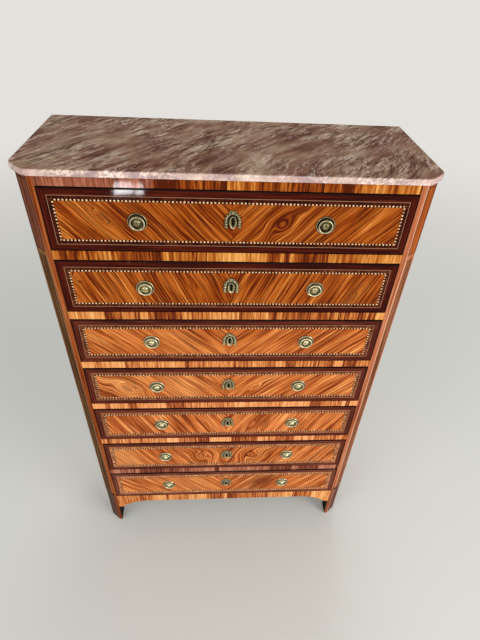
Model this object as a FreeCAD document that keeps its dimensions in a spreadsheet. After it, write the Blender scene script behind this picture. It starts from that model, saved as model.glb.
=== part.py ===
import FreeCAD, Part
import math
import os
import Sketcher

# A semainier: a tall chest of seven equal drawers, one for each day of the week.
# Millimetres. +Z is up and the drawers open towards -Y. The origin is on the floor, in the
# middle of the piece. "Front plane" means the face of the carcase that the drawers close
# against, and every depth below is measured back from it.

DRAWERS = 7
TAILS = 3
FLUTES = 3
BACK_BOARDS = 4

doc = FreeCAD.newDocument("semainier")
sheet = doc.addObject("Spreadsheet::Sheet", "Sizes")

SIZES = [
    # carcase
    ("opening_width", 830, "width of a drawer opening"),
    ("opening_height", 156, "height of a drawer opening"),
    ("rail_height", 24, "height of the rail over each drawer"),
    ("rail_depth", 60, "front to back size of a rail"),
    ("lowest_opening", 176, "floor to the lowest drawer's opening"),
    ("case_depth", 352, "front plane to the back"),
    ("stile_face", 13, "front face of a post beside the drawers"),
    ("cant_width", 29, "canted corner, measured across the front"),
    ("cant_depth", 25, "canted corner, measured front to back"),
    ("post_depth", 45, "front to back size of a front post"),
    ("rear_post", 40, "side of a rear post's square section"),
    ("side_thickness", 18, "side panels"),
    ("back_thickness", 10, "back boards"),
    ("back_joint", 1, "open joint between two back boards"),
    ("board_thickness", 14, "top board and dust board"),
    # bracketed bottom edge
    ("apron_height", 38, "apron below the lowest opening, between the brackets"),
    ("apron_thickness", 24, "front to back size of the apron"),
    ("bracket_drop", 40, "how far a bracket reaches below the apron's edge"),
    ("bracket_reach", 100, "length of a front bracket's curve"),
    ("side_bracket_reach", 78, "length of a side bracket's curve"),
    ("bracket_toe", 15, "flat end of a bracket, beside the leg"),
    # canted corners
    ("foot_line", 183, "floor to the top of the foot block"),
    ("foot_step", 2, "how far the foot block lies behind the cant"),
    ("foot_groove", 6, "height of the groove over the foot block"),
    ("groove_depth", 3.5, "depth of the groove over the foot block"),
    ("flute_width", 5.6, "width of a flute"),
    ("flute_depth", 1.8, "depth of a flute"),
    ("flute_pitch", 9, "distance between two flutes"),
    ("flute_margin", 20, "plain wood beyond each end of the flutes"),
    # marble
    ("marble_thickness", 16, "marble slab"),
    ("marble_front_overhang", 11, "marble in front of the front plane"),
    ("marble_back_overhang", 5, "marble behind the case"),
    ("marble_side_overhang", 14, "marble beyond each side"),
    ("marble_cant", 41.5, "canted corner of the marble, both ways"),
    ("marble_corner_round", 30, "radius of the slab's front corners in plan"),
    ("marble_top_round", 5, "radius of the slab's upper edge"),
    ("marble_bottom_round", 3, "radius of the slab's lower edge"),
    # runners
    ("runner_height", 20, "runner below a drawer's side"),
    ("runner_seat", 30, "runner's reach in under the drawer"),
    ("guide_height", 30, "guide beside a drawer's side"),
    ("guide_clearance", 0.5, "between a guide and the drawer"),
    # drawers
    ("front_gap", 1, "gap round a drawer front"),
    ("front_thickness", 20, "drawer front"),
    ("front_proud", 2, "drawer front in front of the front plane"),
    ("front_round", 3, "radius of the bead round a drawer front"),
    ("wall_thickness", 10, "drawer sides and back"),
    ("wall_height", 140, "drawer sides"),
    ("back_gap", 0.5, "between a closed drawer and the back boards"),
    ("bottom_thickness", 6, "drawer bottom"),
    ("bottom_raise", 4, "drawer bottom above the sides' lower edge"),
    ("tail_length", 13, "dovetails let into the drawer front"),
    ("tail_root", 20, "width of a dovetail at the drawer side"),
    ("tail_flare", 28, "width of a dovetail at its end"),
    # locks
    ("lock_width", 80, "lock case"),
    ("lock_height", 92, "lock case"),
    ("lock_depth", 13, "lock case"),
    ("selvedge_width", 104, "plate on the drawer front's top edge"),
    ("selvedge_thickness", 2.5, "plate on the drawer front's top edge"),
    ("bolt_width", 22, "lock bolt"),
    ("bolt_thickness", 8, "lock bolt"),
    ("bolt_length", 40, "lock bolt"),
    ("bolt_drop", 0.5, "bolt's end below the drawer front's edge"),
    ("bolt_clearance", 0.3, "bolt in its case"),
    ("mortise_clearance", 2, "bolt in the rail's mortise"),
    ("mortise_depth", 10, "mortise in the rail"),
    ("keyhole_raise", 12, "keyhole's round part above the drawer front's middle"),
    ("keyhole_radius", 4.1, "round part of the keyhole"),
    ("keyhole_slot", 4.4, "width of the keyhole's slot"),
    ("keyhole_length", 16.5, "slot below the round part's centre"),
    # ring pulls
    ("pull_offset", 212, "ring pull from the drawer's middle"),
    ("plate_radius", 22, "backplate"),
    ("plate_edge", 1.4, "backplate's edge"),
    ("plate_field", 1.8, "backplate's field under the ring"),
    ("bead_height", 3, "bead round the backplate"),
    ("bead_width", 3.6, "bead round the backplate"),
    ("collar_radius", 10.4, "moulded collar round the boss"),
    ("collar_height", 3.6, "moulded collar round the boss"),
    ("boss_radius", 7.6, "boss in the middle of the backplate"),
    ("boss_height", 8.4, "boss in the middle of the backplate"),
    ("eye_raise", 13, "eye above the backplate's middle"),
    ("eye_wall", 1.6, "metal round the eye"),
    ("eye_width", 3.6, "eye along the hinge line"),
    ("eye_clearance", 0.45, "ring in its eye"),
    ("ring_radius", 15.5, "middle line of the ring"),
    ("ring_wire", 1.7, "radius of the ring's wire"),
    ("ring_gap", 0.3, "between the hanging ring and the backplate's bead"),
    ("stem_radius", 2.5, "threaded stem of a backplate"),
    ("stem_fit", 0.05, "stem in its nut"),
    ("stem_clearance", 0.3, "stem in the drawer front"),
    ("stem_end", 2, "stem beyond its nut"),
    ("nut_side", 12, "square nut"),
    ("nut_thickness", 4, "square nut"),
    # escutcheons
    ("wreath_lower", 4, "middle of the wreath below the keyhole's round part"),
    ("wreath_half_width", 19, "wreath round the keyhole, outside"),
    ("wreath_rise", 21.5, "top of the wreath above its middle"),
    ("wreath_drop", 19.5, "ends of the wreath below its middle"),
    ("wreath_band", 7.5, "width of the wreath"),
    ("wreath_height", 4.6, "relief of the wreath"),
    ("ground_half_width", 14, "oval plate that joins wreath and shield"),
    ("ground_half_height", 19, "oval plate that joins wreath and shield"),
    ("ground_thickness", 1.4, "oval plate that joins wreath and shield"),
    ("shield_lower", 8.4, "middle of the shield below the keyhole's round part"),
    ("shield_half_width", 9, "oval shield round the keyhole"),
    ("shield_half_height", 16, "oval shield round the keyhole"),
    ("shield_height", 3.4, "oval shield round the keyhole"),
    ("bow_width", 17, "ribbon bow on the wreath"),
    ("bow_height", 6, "ribbon bow on the wreath"),
    ("pin_radius", 0.7, "shank of an escutcheon pin"),
    ("pin_length", 10, "escutcheon pin behind its head"),
    ("pin_head_radius", 1.3, "head of an escutcheon pin"),
    ("pin_head_height", 0.8, "head of an escutcheon pin"),
    ("pin_fit", 0.05, "pin in its hole"),
]

for row, (alias, number, meaning) in enumerate(SIZES, start=1):
    sheet.set(f"A{row}", meaning)
    sheet.set(f"B{row}", str(number))
    sheet.setAlias(f"B{row}", alias)
doc.recompute()

# Lengths that follow from the driving sizes, as expressions.
half_opening = "Sizes.opening_width / 2"
front_edge = f"({half_opening} + Sizes.stile_face)"
case_half = f"({front_edge} + Sizes.cant_width)"
panel_inside = f"({case_half} - Sizes.side_thickness)"
rear_inside = f"({case_half} - Sizes.rear_post)"
rear_front = "(Sizes.case_depth - Sizes.rear_post)"
back_front = "(Sizes.case_depth - Sizes.back_thickness)"
pitch = "(Sizes.opening_height + Sizes.rail_height)"
case_top = f"(Sizes.lowest_opening + {DRAWERS} * {pitch})"
apron_line = "(Sizes.lowest_opening - Sizes.apron_height)"
bracket_foot = f"({apron_line} - Sizes.bracket_drop)"
marble_half = f"({case_half} + Sizes.marble_side_overhang)"
marble_depth = "(Sizes.marble_front_overhang + Sizes.case_depth + Sizes.marble_back_overhang)"
front_plane = f"(Sizes.marble_front_overhang - {marble_depth} / 2)"

front_half = f"({half_opening} - Sizes.front_gap)"
front_top = "(Sizes.opening_height - Sizes.front_gap)"
front_back = "(Sizes.front_thickness - Sizes.front_proud)"
box_end = f"({back_front} - Sizes.back_gap)"
keyhole_centre = "(Sizes.opening_height / 2 + Sizes.keyhole_raise)"
bolt_middle = f"({front_back} - Sizes.lock_depth / 2)"
pull_centre = "Sizes.opening_height / 2"
ring_plane = "(Sizes.bead_height + Sizes.ring_gap + Sizes.ring_wire)"
pin_offset = "(Sizes.wreath_half_width - Sizes.wreath_band / 2)"
pin_level = f"({keyhole_centre} - Sizes.wreath_lower)"


def opening_bottom(number):
    """Height of drawer 1 (top) to 7 (bottom) above the floor."""
    return f"(Sizes.lowest_opening + {DRAWERS - number} * {pitch})"


def value(expression):
    return float(sheet.evalExpression(expression))


def bind(thing, expressions):
    for name, expression in expressions.items():
        thing.setExpression(name, expression)
    return thing


def place(thing, x="0", y="0", z="0"):
    """Puts a piece at x, y back from the front plane, and z up from the floor."""
    bind(thing, {
        "Placement.Base.x": x,
        "Placement.Base.y": f"{front_plane} + {y}",
        "Placement.Base.z": z,
    })
    return thing


def shift(thing, x="0", y="0", z="0"):
    """Puts a piece of a drawer within that drawer's own space."""
    bind(thing, {"Placement.Base.x": x, "Placement.Base.y": y, "Placement.Base.z": z})
    return thing


def box(name, length, width, height):
    block = doc.addObject("Part::Box", name)
    return bind(block, {"Length": length, "Width": width, "Height": height})


def cylinder(name, radius, height):
    rod = doc.addObject("Part::Cylinder", name)
    return bind(rod, {"Radius": radius, "Height": height})


def turn(thing, axis, degrees):
    thing.Placement = FreeCAD.Placement(FreeCAD.Vector(), FreeCAD.Rotation(axis, degrees))
    return thing


def fuse(name, pieces):
    whole = doc.addObject("Part::MultiFuse", name)
    whole.Shapes = pieces
    whole.Refine = True
    return whole


def cut(name, base, tool):
    rest = doc.addObject("Part::Cut", name)
    rest.Base = base
    rest.Tool = tool
    rest.Refine = True
    return rest


def group(name, pieces):
    """Separate solids that share one name."""
    gathered = doc.addObject("Part::Compound", name)
    gathered.Links = pieces
    return gathered


def mirrored(name, piece):
    """The same piece for the other side."""
    twin = doc.addObject("Part::Mirroring", name)
    twin.Source = piece
    twin.Normal = FreeCAD.Vector(1, 0, 0)
    return twin


def new_body(name):
    return doc.addObject("PartDesign::Body", name)


def sketch_on(body, name, role):
    drawing = body.newObject("Sketcher::SketchObject", name)
    plane = next(item for item in body.Origin.OriginFeatures if item.Role == role)
    drawing.AttachmentSupport = [(plane, "")]
    drawing.MapMode = "FlatFace"
    return drawing


def pin_vertex(drawing, side, vertex, corner):
    """Ties one end of a sketch line to a point, given as two expressions."""
    for kind, expression in zip(("DistanceX", "DistanceY"), corner):
        number = drawing.addConstraint(
            Sketcher.Constraint(kind, -1, 1, side, vertex, value(expression))
        )
        drawing.setExpression(f"Constraints[{number}]", expression)


def tangent_arc(flat_end, far_end):
    """An arc that leaves flat_end level and ends at far_end, and its end numbers there."""
    across = far_end.x - flat_end.x
    rise = far_end.y - flat_end.y
    radius = (across ** 2 + rise ** 2) / (2 * abs(rise))
    centre = FreeCAD.Vector(flat_end.x, flat_end.y + math.copysign(radius, rise), 0)
    flat_angle = math.atan2(flat_end.y - centre.y, flat_end.x - centre.x)
    far_angle = math.atan2(far_end.y - centre.y, far_end.x - centre.x)
    circle = Part.Circle(centre, FreeCAD.Vector(0, 0, 1), radius)
    if (far_angle - flat_angle) % (2 * math.pi) < math.pi:
        return Part.ArcOfCircle(circle, flat_angle, far_angle), 1, 2
    return Part.ArcOfCircle(circle, far_angle, flat_angle), 2, 1


def outline(body, name, role, corners, arcs_from=(), arcs_to=()):
    """A closed outline through corners, in order.

    The side after a corner numbered in arcs_from is an arc that leaves that corner level,
    and after one in arcs_to it is an arc that arrives level at the next corner.
    """
    drawing = sketch_on(body, name, role)
    points = [FreeCAD.Vector(value(across), value(up), 0) for across, up in corners]
    starts, ends = [], []
    for number, point in enumerate(points):
        following = points[(number + 1) % len(points)]
        first, last = 1, 2
        if number in arcs_from:
            curve, first, last = tangent_arc(point, following)
        elif number in arcs_to:
            curve, last, first = tangent_arc(following, point)
        else:
            curve = Part.LineSegment(point, following)
        drawing.addGeometry(curve, False)
        starts.append(first)
        ends.append(last)
    for number, corner in enumerate(corners):
        before = number - 1 if number else len(corners) - 1
        level = number in arcs_from or before in arcs_to
        joint = "Tangent" if level else "Coincident"
        drawing.addConstraint(
            Sketcher.Constraint(joint, before, ends[before], number, starts[number])
        )
        pin_vertex(drawing, number, starts[number], corner)
    return drawing


def circle_on(body, name, role, centre, radius):
    drawing = sketch_on(body, name, role)
    middle = FreeCAD.Vector(value(centre[0]), value(centre[1]), 0)
    drawing.addGeometry(Part.Circle(middle, FreeCAD.Vector(0, 0, 1), value(radius)), False)
    pin_vertex(drawing, 0, 3, centre)
    number = drawing.addConstraint(Sketcher.Constraint("Radius", 0, value(radius)))
    drawing.setExpression(f"Constraints[{number}]", radius)
    return drawing


def rectangle(left, right, low, high):
    return [(left, low), (right, low), (right, high), (left, high)]


def pad(body, name, drawing, length, reverse=False, centred=False):
    feature = body.newObject("PartDesign::Pad", name)
    feature.Profile = drawing
    feature.Reversed = reverse
    feature.SideType = "Symmetric" if centred else "One side"
    bind(feature, {"Length": length})
    return feature


def pocket(body, name, drawing, length, reverse=False, centred=False):
    feature = body.newObject("PartDesign::Pocket", name)
    feature.Profile = drawing
    feature.Reversed = reverse
    feature.SideType = "Symmetric" if centred else "One side"
    bind(feature, {"Length": length})
    return feature


def round_edges(body, name, feature, radius, wanted):
    """Rounds those edges of a feature whose middle point passes the test."""
    doc.recompute()
    names = [
        f"Edge{number}"
        for number, edge in enumerate(feature.Shape.Edges, start=1)
        if wanted(edge.CenterOfMass)
    ]
    rounding = body.newObject("PartDesign::Fillet", name)
    rounding.Base = (feature, names)
    bind(rounding, {"Radius": radius})
    return rounding


pieces = {}


def keep(node, piece):
    """Names a finished sub-part."""
    piece.Label = node
    pieces[node] = piece
    return piece


# Marble slab: canted front corners, edges rounded along the front, cants and sides.
slab = new_body("marble")
slab_front = "-Sizes.marble_front_overhang"
slab_back = "(Sizes.case_depth + Sizes.marble_back_overhang)"
slab_cant = f"({slab_front} + Sizes.marble_cant)"
slab_corner = f"({marble_half} - Sizes.marble_cant)"
slab_middle = "(Sizes.marble_thickness / 2)"
slab_outline = outline(slab, "marble_outline", "XY_Plane", [
    (f"-{marble_half}", slab_back),
    (f"-{marble_half}", slab_cant),
    (f"-{slab_corner}", slab_front),
    (slab_corner, slab_front),
    (marble_half, slab_cant),
    (marble_half, slab_back),
])
slab_pad = pad(slab, "marble_pad", slab_outline, "Sizes.marble_thickness")


def not_at_back(point):
    return point.y < value(slab_back) - 1


slab_plan = round_edges(
    slab, "marble_corners", slab_pad, "Sizes.marble_corner_round",
    lambda point: point.y < value(slab_cant) + 1 and abs(point.z - value(slab_middle)) < 0.1,
)
slab_top = round_edges(
    slab, "marble_upper_edge", slab_plan, "Sizes.marble_top_round",
    lambda point: not_at_back(point) and point.z > value("Sizes.marble_thickness") - 0.1,
)
round_edges(
    slab, "marble_lower_edge", slab_top, "Sizes.marble_bottom_round",
    lambda point: not_at_back(point) and point.z < 0.1,
)
keep("marble_top", place(slab, z=case_top))


# Front posts: from the floor to the marble, with a fluted cant and a plain foot block.
cant_length = "sqrt(Sizes.cant_width ^ 2 + Sizes.cant_depth ^ 2)"
post = new_body("post")
post_outline = outline(post, "post_outline", "XY_Plane", [
    (half_opening, "0"),
    (front_edge, "0"),
    (case_half, "Sizes.cant_depth"),
    (case_half, "Sizes.post_depth"),
    (half_opening, "Sizes.post_depth"),
])
pad(post, "post_pad", post_outline, case_top)


def behind_cant(depth):
    """Outline of the strip of wood that lies less than a depth behind the cant's face."""
    return [
        (f"{front_edge} - {depth} * {cant_length} / Sizes.cant_depth", "0"),
        (front_edge, "0"),
        (case_half, "Sizes.cant_depth"),
        (case_half, f"Sizes.cant_depth + {depth} * {cant_length} / Sizes.cant_width"),
    ]


foot_outline = outline(post, "foot_outline", "XY_Plane", behind_cant("Sizes.foot_step"))
pocket(post, "foot_pocket", foot_outline, "Sizes.foot_line", reverse=True)
place(post)

# Each flute is a round-bottomed groove with a round end, cut into the cant.
flute_radius = "((Sizes.flute_width ^ 2 / 4 + Sizes.flute_depth ^ 2) / (2 * Sizes.flute_depth))"
flute_out = f"(({flute_radius} - Sizes.flute_depth) / {cant_length})"
flute_low = "(Sizes.foot_line + Sizes.foot_groove + Sizes.flute_margin)"
flute_high = f"({opening_bottom(1)} - Sizes.flute_margin)"
cutters = []
for flute in range(FLUTES):
    along = f"(0.5 + {flute - (FLUTES - 1) / 2} * Sizes.flute_pitch / {cant_length})"
    flute_x = f"({front_edge} + Sizes.cant_width * {along} + Sizes.cant_depth * {flute_out})"
    flute_y = f"(Sizes.cant_depth * {along} - Sizes.cant_width * {flute_out})"
    shaft = cylinder(f"flute_{flute}", flute_radius, f"{flute_high} - {flute_low}")
    cutters.append(place(shaft, flute_x, flute_y, flute_low))
    for end, height in (("low", flute_low), ("high", flute_high)):
        ball = doc.addObject("Part::Sphere", f"flute_{flute}_{end}")
        bind(ball, {"Radius": flute_radius})
        cutters.append(place(ball, flute_x, flute_y, height))

# The groove over the foot block runs straight across the cant.
groove = new_body("groove")
groove_outline = outline(groove, "groove_outline", "XY_Plane",
                         behind_cant("Sizes.groove_depth"))
pad(groove, "groove_pad", groove_outline, "Sizes.foot_groove")
cutters.append(place(groove, z="Sizes.foot_line"))

post_right = keep("front_post_right", cut("fluted_post", post, fuse("flutes", cutters)))
keep("front_post_left", mirrored("fluted_post_left", post_right))


# Rear posts and the upright boards of the back between them.
rear_posts = []
for name, x in (("left", f"-{case_half}"), ("right", rear_inside)):
    leg = box(f"rear_post_{name}", "Sizes.rear_post", "Sizes.rear_post", case_top)
    rear_posts.append(place(leg, x, rear_front))
keep("rear_posts", group("rear_post_pair", rear_posts))

board_width = f"((2 * {rear_inside} + Sizes.back_joint) / {BACK_BOARDS} - Sizes.back_joint)"
boards = []
for number in range(BACK_BOARDS):
    board = box(f"back_board_{number}", board_width, "Sizes.back_thickness",
                f"{case_top} - {apron_line}")
    left = f"-{rear_inside} + {number} * ({board_width} + Sizes.back_joint)"
    boards.append(place(board, left, back_front, apron_line))
keep("back_boards", group("back", boards))


# Side panels, whose lower edge sweeps down to the legs in two brackets.
def bracketed(near, far, reach, top):
    """Outline of a board whose lower edge ends in a bracket at each end."""
    toe = "Sizes.bracket_toe"
    return [
        (near, top),
        (near, bracket_foot),
        (f"{near} + {toe}", bracket_foot),
        (f"{near} + {toe} + {reach}", apron_line),
        (f"{far} - {toe} - {reach}", apron_line),
        (f"{far} - {toe}", bracket_foot),
        (far, bracket_foot),
        (far, top),
    ]


panel = new_body("panel")
panel_outline = outline(
    panel, "panel_outline", "YZ_Plane",
    bracketed("Sizes.post_depth", rear_front, "Sizes.side_bracket_reach", case_top),
    arcs_from=(4,), arcs_to=(2,),
)
pad(panel, "panel_pad", panel_outline, "Sizes.side_thickness")
panel_right = keep("side_panel_right", place(panel, x=panel_inside))
keep("side_panel_left", mirrored("panel_left", panel_right))


# Apron: the bottom rail between the front posts, with the same brackets.
apron = new_body("apron_board")
apron_outline = outline(
    apron, "apron_outline", "XZ_Plane",
    bracketed(f"-{half_opening}", half_opening, "Sizes.bracket_reach", "Sizes.lowest_opening"),
    arcs_from=(4,), arcs_to=(2,),
)
pad(apron, "apron_pad", apron_outline, "Sizes.apron_thickness", reverse=True)
keep("apron", place(apron))


# Top board under the marble, and dust board under the lowest drawer. Both are notched
# round the rear posts, and the dust board round the front posts too.
def notched_board(name, front_corners):
    board = new_body(name)
    corners = front_corners + [
        (panel_inside, rear_front),
        (rear_inside, rear_front),
        (rear_inside, back_front),
        (f"-{rear_inside}", back_front),
        (f"-{rear_inside}", rear_front),
        (f"-{panel_inside}", rear_front),
    ]
    pad(board, f"{name}_pad", outline(board, f"{name}_outline", "XY_Plane", corners),
        "Sizes.board_thickness")
    return board


top_board = notched_board("top_board", [
    (f"-{panel_inside}", "Sizes.rail_depth"),
    (panel_inside, "Sizes.rail_depth"),
])
dust_board = notched_board("dust_board", [
    (f"-{panel_inside}", "Sizes.post_depth"),
    (f"-{half_opening}", "Sizes.post_depth"),
    (f"-{half_opening}", "Sizes.apron_thickness"),
    (half_opening, "Sizes.apron_thickness"),
    (half_opening, "Sizes.post_depth"),
    (panel_inside, "Sizes.post_depth"),
])
place(top_board, z=f"{case_top} - Sizes.board_thickness")
place(dust_board, z="Sizes.lowest_opening - Sizes.runner_height - Sizes.board_thickness")
keep("top_and_dust_boards", group("boards", [top_board, dust_board]))


# Rails: one over each drawer, with a mortise below for that drawer's lock bolt.
mortise_half_width = "(Sizes.bolt_width / 2 + Sizes.mortise_clearance)"
mortise_half_depth = "(Sizes.bolt_thickness / 2 + Sizes.mortise_clearance)"
rail = new_body("rail")
pad(rail, "rail_pad", outline(rail, "rail_outline", "XY_Plane", rectangle(
    f"-{half_opening}", half_opening, "0", "Sizes.rail_depth")), "Sizes.rail_height")
pocket(rail, "rail_mortise", outline(rail, "mortise_outline", "XY_Plane", rectangle(
    f"-{mortise_half_width}", mortise_half_width,
    f"{bolt_middle} - {mortise_half_depth}", f"{bolt_middle} + {mortise_half_depth}",
)), "Sizes.mortise_depth", reverse=True)

# Runners: a strip under each drawer side, from the rail to the rear post, with a guide
# glued on it beside the drawer.
runner_inside = f"({half_opening} - Sizes.runner_seat)"
guide_face = f"({half_opening} + Sizes.guide_clearance)"
runner_length = f"{rear_front} - Sizes.rail_depth"
seat = box("runner_seat", f"{panel_inside} - {runner_inside}", runner_length,
           "Sizes.runner_height")
shift(seat, x=runner_inside, z="-Sizes.runner_height")
guide = box("runner_guide", f"{panel_inside} - {guide_face}", runner_length,
            "Sizes.guide_height")
shift(guide, x=guide_face)
runner = group("runner", [seat, guide])
runner_left = mirrored("runner_left", runner)

rails, runners = [], []
for number in range(1, DRAWERS + 1):
    one_rail = group(f"rail_{number}", [rail])
    rails.append(place(one_rail, z=f"{opening_bottom(number)} + Sizes.opening_height"))
    pair = group(f"runners_{number}", [runner, runner_left])
    runners.append(place(pair, y="Sizes.rail_depth", z=opening_bottom(number)))
keep("drawer_rails", group("all_rails", rails))
keep("drawer_runners", group("all_runners", runners))


# One drawer, in its own space: z is up from its opening, y back from the front plane. Its
# front has a beaded edge, and is cut for lock, keyhole, pulls and escutcheon pins.
front = new_body("front")
front_pad = pad(front, "front_pad", outline(front, "front_outline", "XZ_Plane", rectangle(
    f"-{front_half}", front_half, "Sizes.front_gap", front_top)),
    "Sizes.front_thickness", reverse=True)
round_edges(front, "front_bead", front_pad, "Sizes.front_round",
            lambda point: point.y < 0.1)
shift(front, y="-Sizes.front_proud")

lock_case = box("lock_case", "Sizes.lock_width", "Sizes.lock_depth", "Sizes.lock_height")
shift(lock_case, "-Sizes.lock_width / 2", f"{front_back} - Sizes.lock_depth",
      f"{front_top} - Sizes.lock_height")
selvedge = box("selvedge", "Sizes.selvedge_width", "Sizes.lock_depth",
               "Sizes.selvedge_thickness")
shift(selvedge, "-Sizes.selvedge_width / 2", f"{front_back} - Sizes.lock_depth",
      f"{front_top} - Sizes.selvedge_thickness")
lock_block = fuse("lock_block", [lock_case, selvedge])


def keyhole(name, depth):
    """A keyhole's cutter: a round hole over a slot, running back from y = 0."""
    hole = turn(cylinder(f"{name}_hole", "Sizes.keyhole_radius", depth),
                FreeCAD.Vector(1, 0, 0), -90)
    shift(hole, z=keyhole_centre)
    slot = box(f"{name}_slot", "Sizes.keyhole_slot", depth, "Sizes.keyhole_length")
    shift(slot, x="-Sizes.keyhole_slot / 2", z=f"{keyhole_centre} - Sizes.keyhole_length")
    return fuse(name, [hole, slot])


front_keyhole = shift(keyhole("front_keyhole", "Sizes.front_thickness"),
                      y="-Sizes.front_proud")
stem_holes, pin_holes, pins = [], [], []
for name, sign in (("left", "-"), ("right", "")):
    hole = cylinder(f"stem_hole_{name}", "Sizes.stem_radius + Sizes.stem_clearance",
                    "Sizes.front_thickness")
    turn(hole, FreeCAD.Vector(1, 0, 0), -90)
    stem_holes.append(shift(hole, f"{sign}Sizes.pull_offset", "-Sizes.front_proud", pull_centre))

    # A pin goes through the wreath, and its shank is driven into the drawer front.
    pin_start = "-Sizes.front_proud - Sizes.wreath_height"
    hole = cylinder(f"pin_hole_{name}", "Sizes.pin_radius + Sizes.pin_fit",
                    "Sizes.pin_length + Sizes.pin_fit")
    shank = cylinder(f"pin_shank_{name}", "Sizes.pin_radius", "Sizes.pin_length")
    head = cylinder(f"pin_head_{name}", "Sizes.pin_head_radius", "Sizes.pin_head_height")
    for round_piece, start in ((hole, pin_start), (shank, pin_start),
                               (head, f"{pin_start} - Sizes.pin_head_height")):
        turn(round_piece, FreeCAD.Vector(1, 0, 0), -90)
        shift(round_piece, f"{sign}{pin_offset}", start, pin_level)
    pin_holes.append(hole)
    pins.append(fuse(f"pin_{name}", [shank, head]))

# Dovetails on the drawer sides, let into the front from behind so that it hides them.
tails_right = []
for number in range(TAILS):
    tail = doc.addObject("Part::Wedge", f"tail_{number}")
    flare_start = "(Sizes.tail_flare - Sizes.tail_root) / 2"
    bind(tail, {
        "Xmin": "0", "X2min": "0",
        "Xmax": "Sizes.wall_thickness", "X2max": "Sizes.wall_thickness",
        "Ymin": "0", "Ymax": "Sizes.tail_length",
        "Zmin": "0", "Zmax": "Sizes.tail_flare",
        "Z2min": flare_start, "Z2max": f"{flare_start} + Sizes.tail_root",
    })
    tail_middle = f"Sizes.wall_height * {(number + 0.5) / TAILS}"
    shift(tail, f"{front_half} - Sizes.wall_thickness", f"{front_back} - Sizes.tail_length",
          f"{tail_middle} - Sizes.tail_flare / 2")
    tails_right.append(tail)
tail_row = group("tail_row", tails_right)
tail_row_left = mirrored("tail_row_left", tail_row)
front_cutters = fuse("front_cutters", [lock_block, front_keyhole, *stem_holes, *pin_holes,
                                       tail_row, tail_row_left])
drawer_front = cut("drawer_front", front, front_cutters)

# The box behind it: two dovetailed sides, a back and a bottom.
side_board = box("side_board", "Sizes.wall_thickness", f"{box_end} - {front_back}",
                 "Sizes.wall_height")
shift(side_board, f"{front_half} - Sizes.wall_thickness", front_back)
drawer_side = fuse("drawer_side", [side_board, *tails_right])
drawer_side_left = mirrored("drawer_side_left", drawer_side)
inside_width = f"2 * ({front_half} - Sizes.wall_thickness)"
bottom_board = box("bottom_board", inside_width, f"{box_end} - {front_back}",
                   "Sizes.bottom_thickness")
shift(bottom_board, f"-{inside_width} / 2", front_back, "Sizes.bottom_raise")
bottom_top = "(Sizes.bottom_raise + Sizes.bottom_thickness)"
back_board = box("drawer_back", inside_width, "Sizes.wall_thickness",
                 f"Sizes.wall_height - {bottom_top}")
shift(back_board, f"-{inside_width} / 2", f"{box_end} - Sizes.wall_thickness", bottom_top)
drawer_box = group("drawer_box", [drawer_side, drawer_side_left, bottom_board, back_board])

# Lock: a closed case let in flush, open at the top for its bolt and in front for the key.
bolt_low = f"({front_top} - Sizes.bolt_drop - Sizes.bolt_length)"
bolt = box("bolt", "Sizes.bolt_width", "Sizes.bolt_thickness", "Sizes.bolt_length")
shift(bolt, "-Sizes.bolt_width / 2", f"{bolt_middle} - Sizes.bolt_thickness / 2", bolt_low)
bolt_way = box("bolt_way", "Sizes.bolt_width + 2 * Sizes.bolt_clearance",
               "Sizes.bolt_thickness + 2 * Sizes.bolt_clearance",
               "Sizes.bolt_length + Sizes.bolt_drop + Sizes.bolt_clearance")
shift(bolt_way, "-Sizes.bolt_width / 2 - Sizes.bolt_clearance",
      f"{bolt_middle} - Sizes.bolt_thickness / 2 - Sizes.bolt_clearance",
      f"{bolt_low} - Sizes.bolt_clearance")
key_way = shift(keyhole("key_way", "Sizes.lock_depth / 2"),
                y=f"{front_back} - Sizes.lock_depth")
drawer_lock = cut("drawer_lock", lock_block, fuse("lock_ways", [bolt_way, key_way]))

# Ring pull: a turned backplate on a threaded stem, a square nut inside the drawer, and
# an eye over the boss that the ring hangs in. y = 0 is the drawer front's face.
plate = new_body("plate")
stem_length = "(Sizes.front_thickness + Sizes.nut_thickness + Sizes.stem_end)"
bead_inside = "(Sizes.plate_radius - Sizes.bead_width)"
collar_middle = "(Sizes.boss_radius + Sizes.collar_radius) / 2"
plate_profile = outline(plate, "plate_profile", "YZ_Plane", [
    ("-Sizes.boss_height", "0"),
    ("-Sizes.boss_height", "Sizes.boss_radius / 2"),
    ("-(Sizes.boss_height + Sizes.collar_height) / 2", "Sizes.boss_radius * 0.9"),
    ("-Sizes.collar_height", "Sizes.boss_radius"),
    ("-Sizes.collar_height", collar_middle),
    ("-Sizes.plate_field", "Sizes.collar_radius"),
    ("-Sizes.plate_field", bead_inside),
    ("-Sizes.bead_height", f"{bead_inside} + Sizes.bead_width / 3"),
    ("-Sizes.bead_height", "Sizes.plate_radius - Sizes.bead_width / 3"),
    ("-Sizes.plate_edge", "Sizes.plate_radius"),
    ("0", "Sizes.plate_radius"),
    ("0", "Sizes.stem_radius"),
    (stem_length, "Sizes.stem_radius"),
    (stem_length, "0"),
])
turned = plate.newObject("PartDesign::Revolution", "plate_turned")
turned.Profile = plate_profile
turned.ReferenceAxis = (plate_profile, ["H_Axis"])
turned.Angle = 360
eye_hole = "(Sizes.ring_wire + Sizes.eye_clearance)"
eye_centre = (f"-{ring_plane}", "Sizes.eye_raise")
pad(plate, "eye_pad", circle_on(plate, "eye_outline", "YZ_Plane", eye_centre,
                                f"{eye_hole} + Sizes.eye_wall"),
    "Sizes.eye_width", centred=True)
pocket(plate, "eye_hole", circle_on(plate, "eye_hole_outline", "YZ_Plane", eye_centre, eye_hole),
       "Sizes.eye_width", centred=True)

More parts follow.
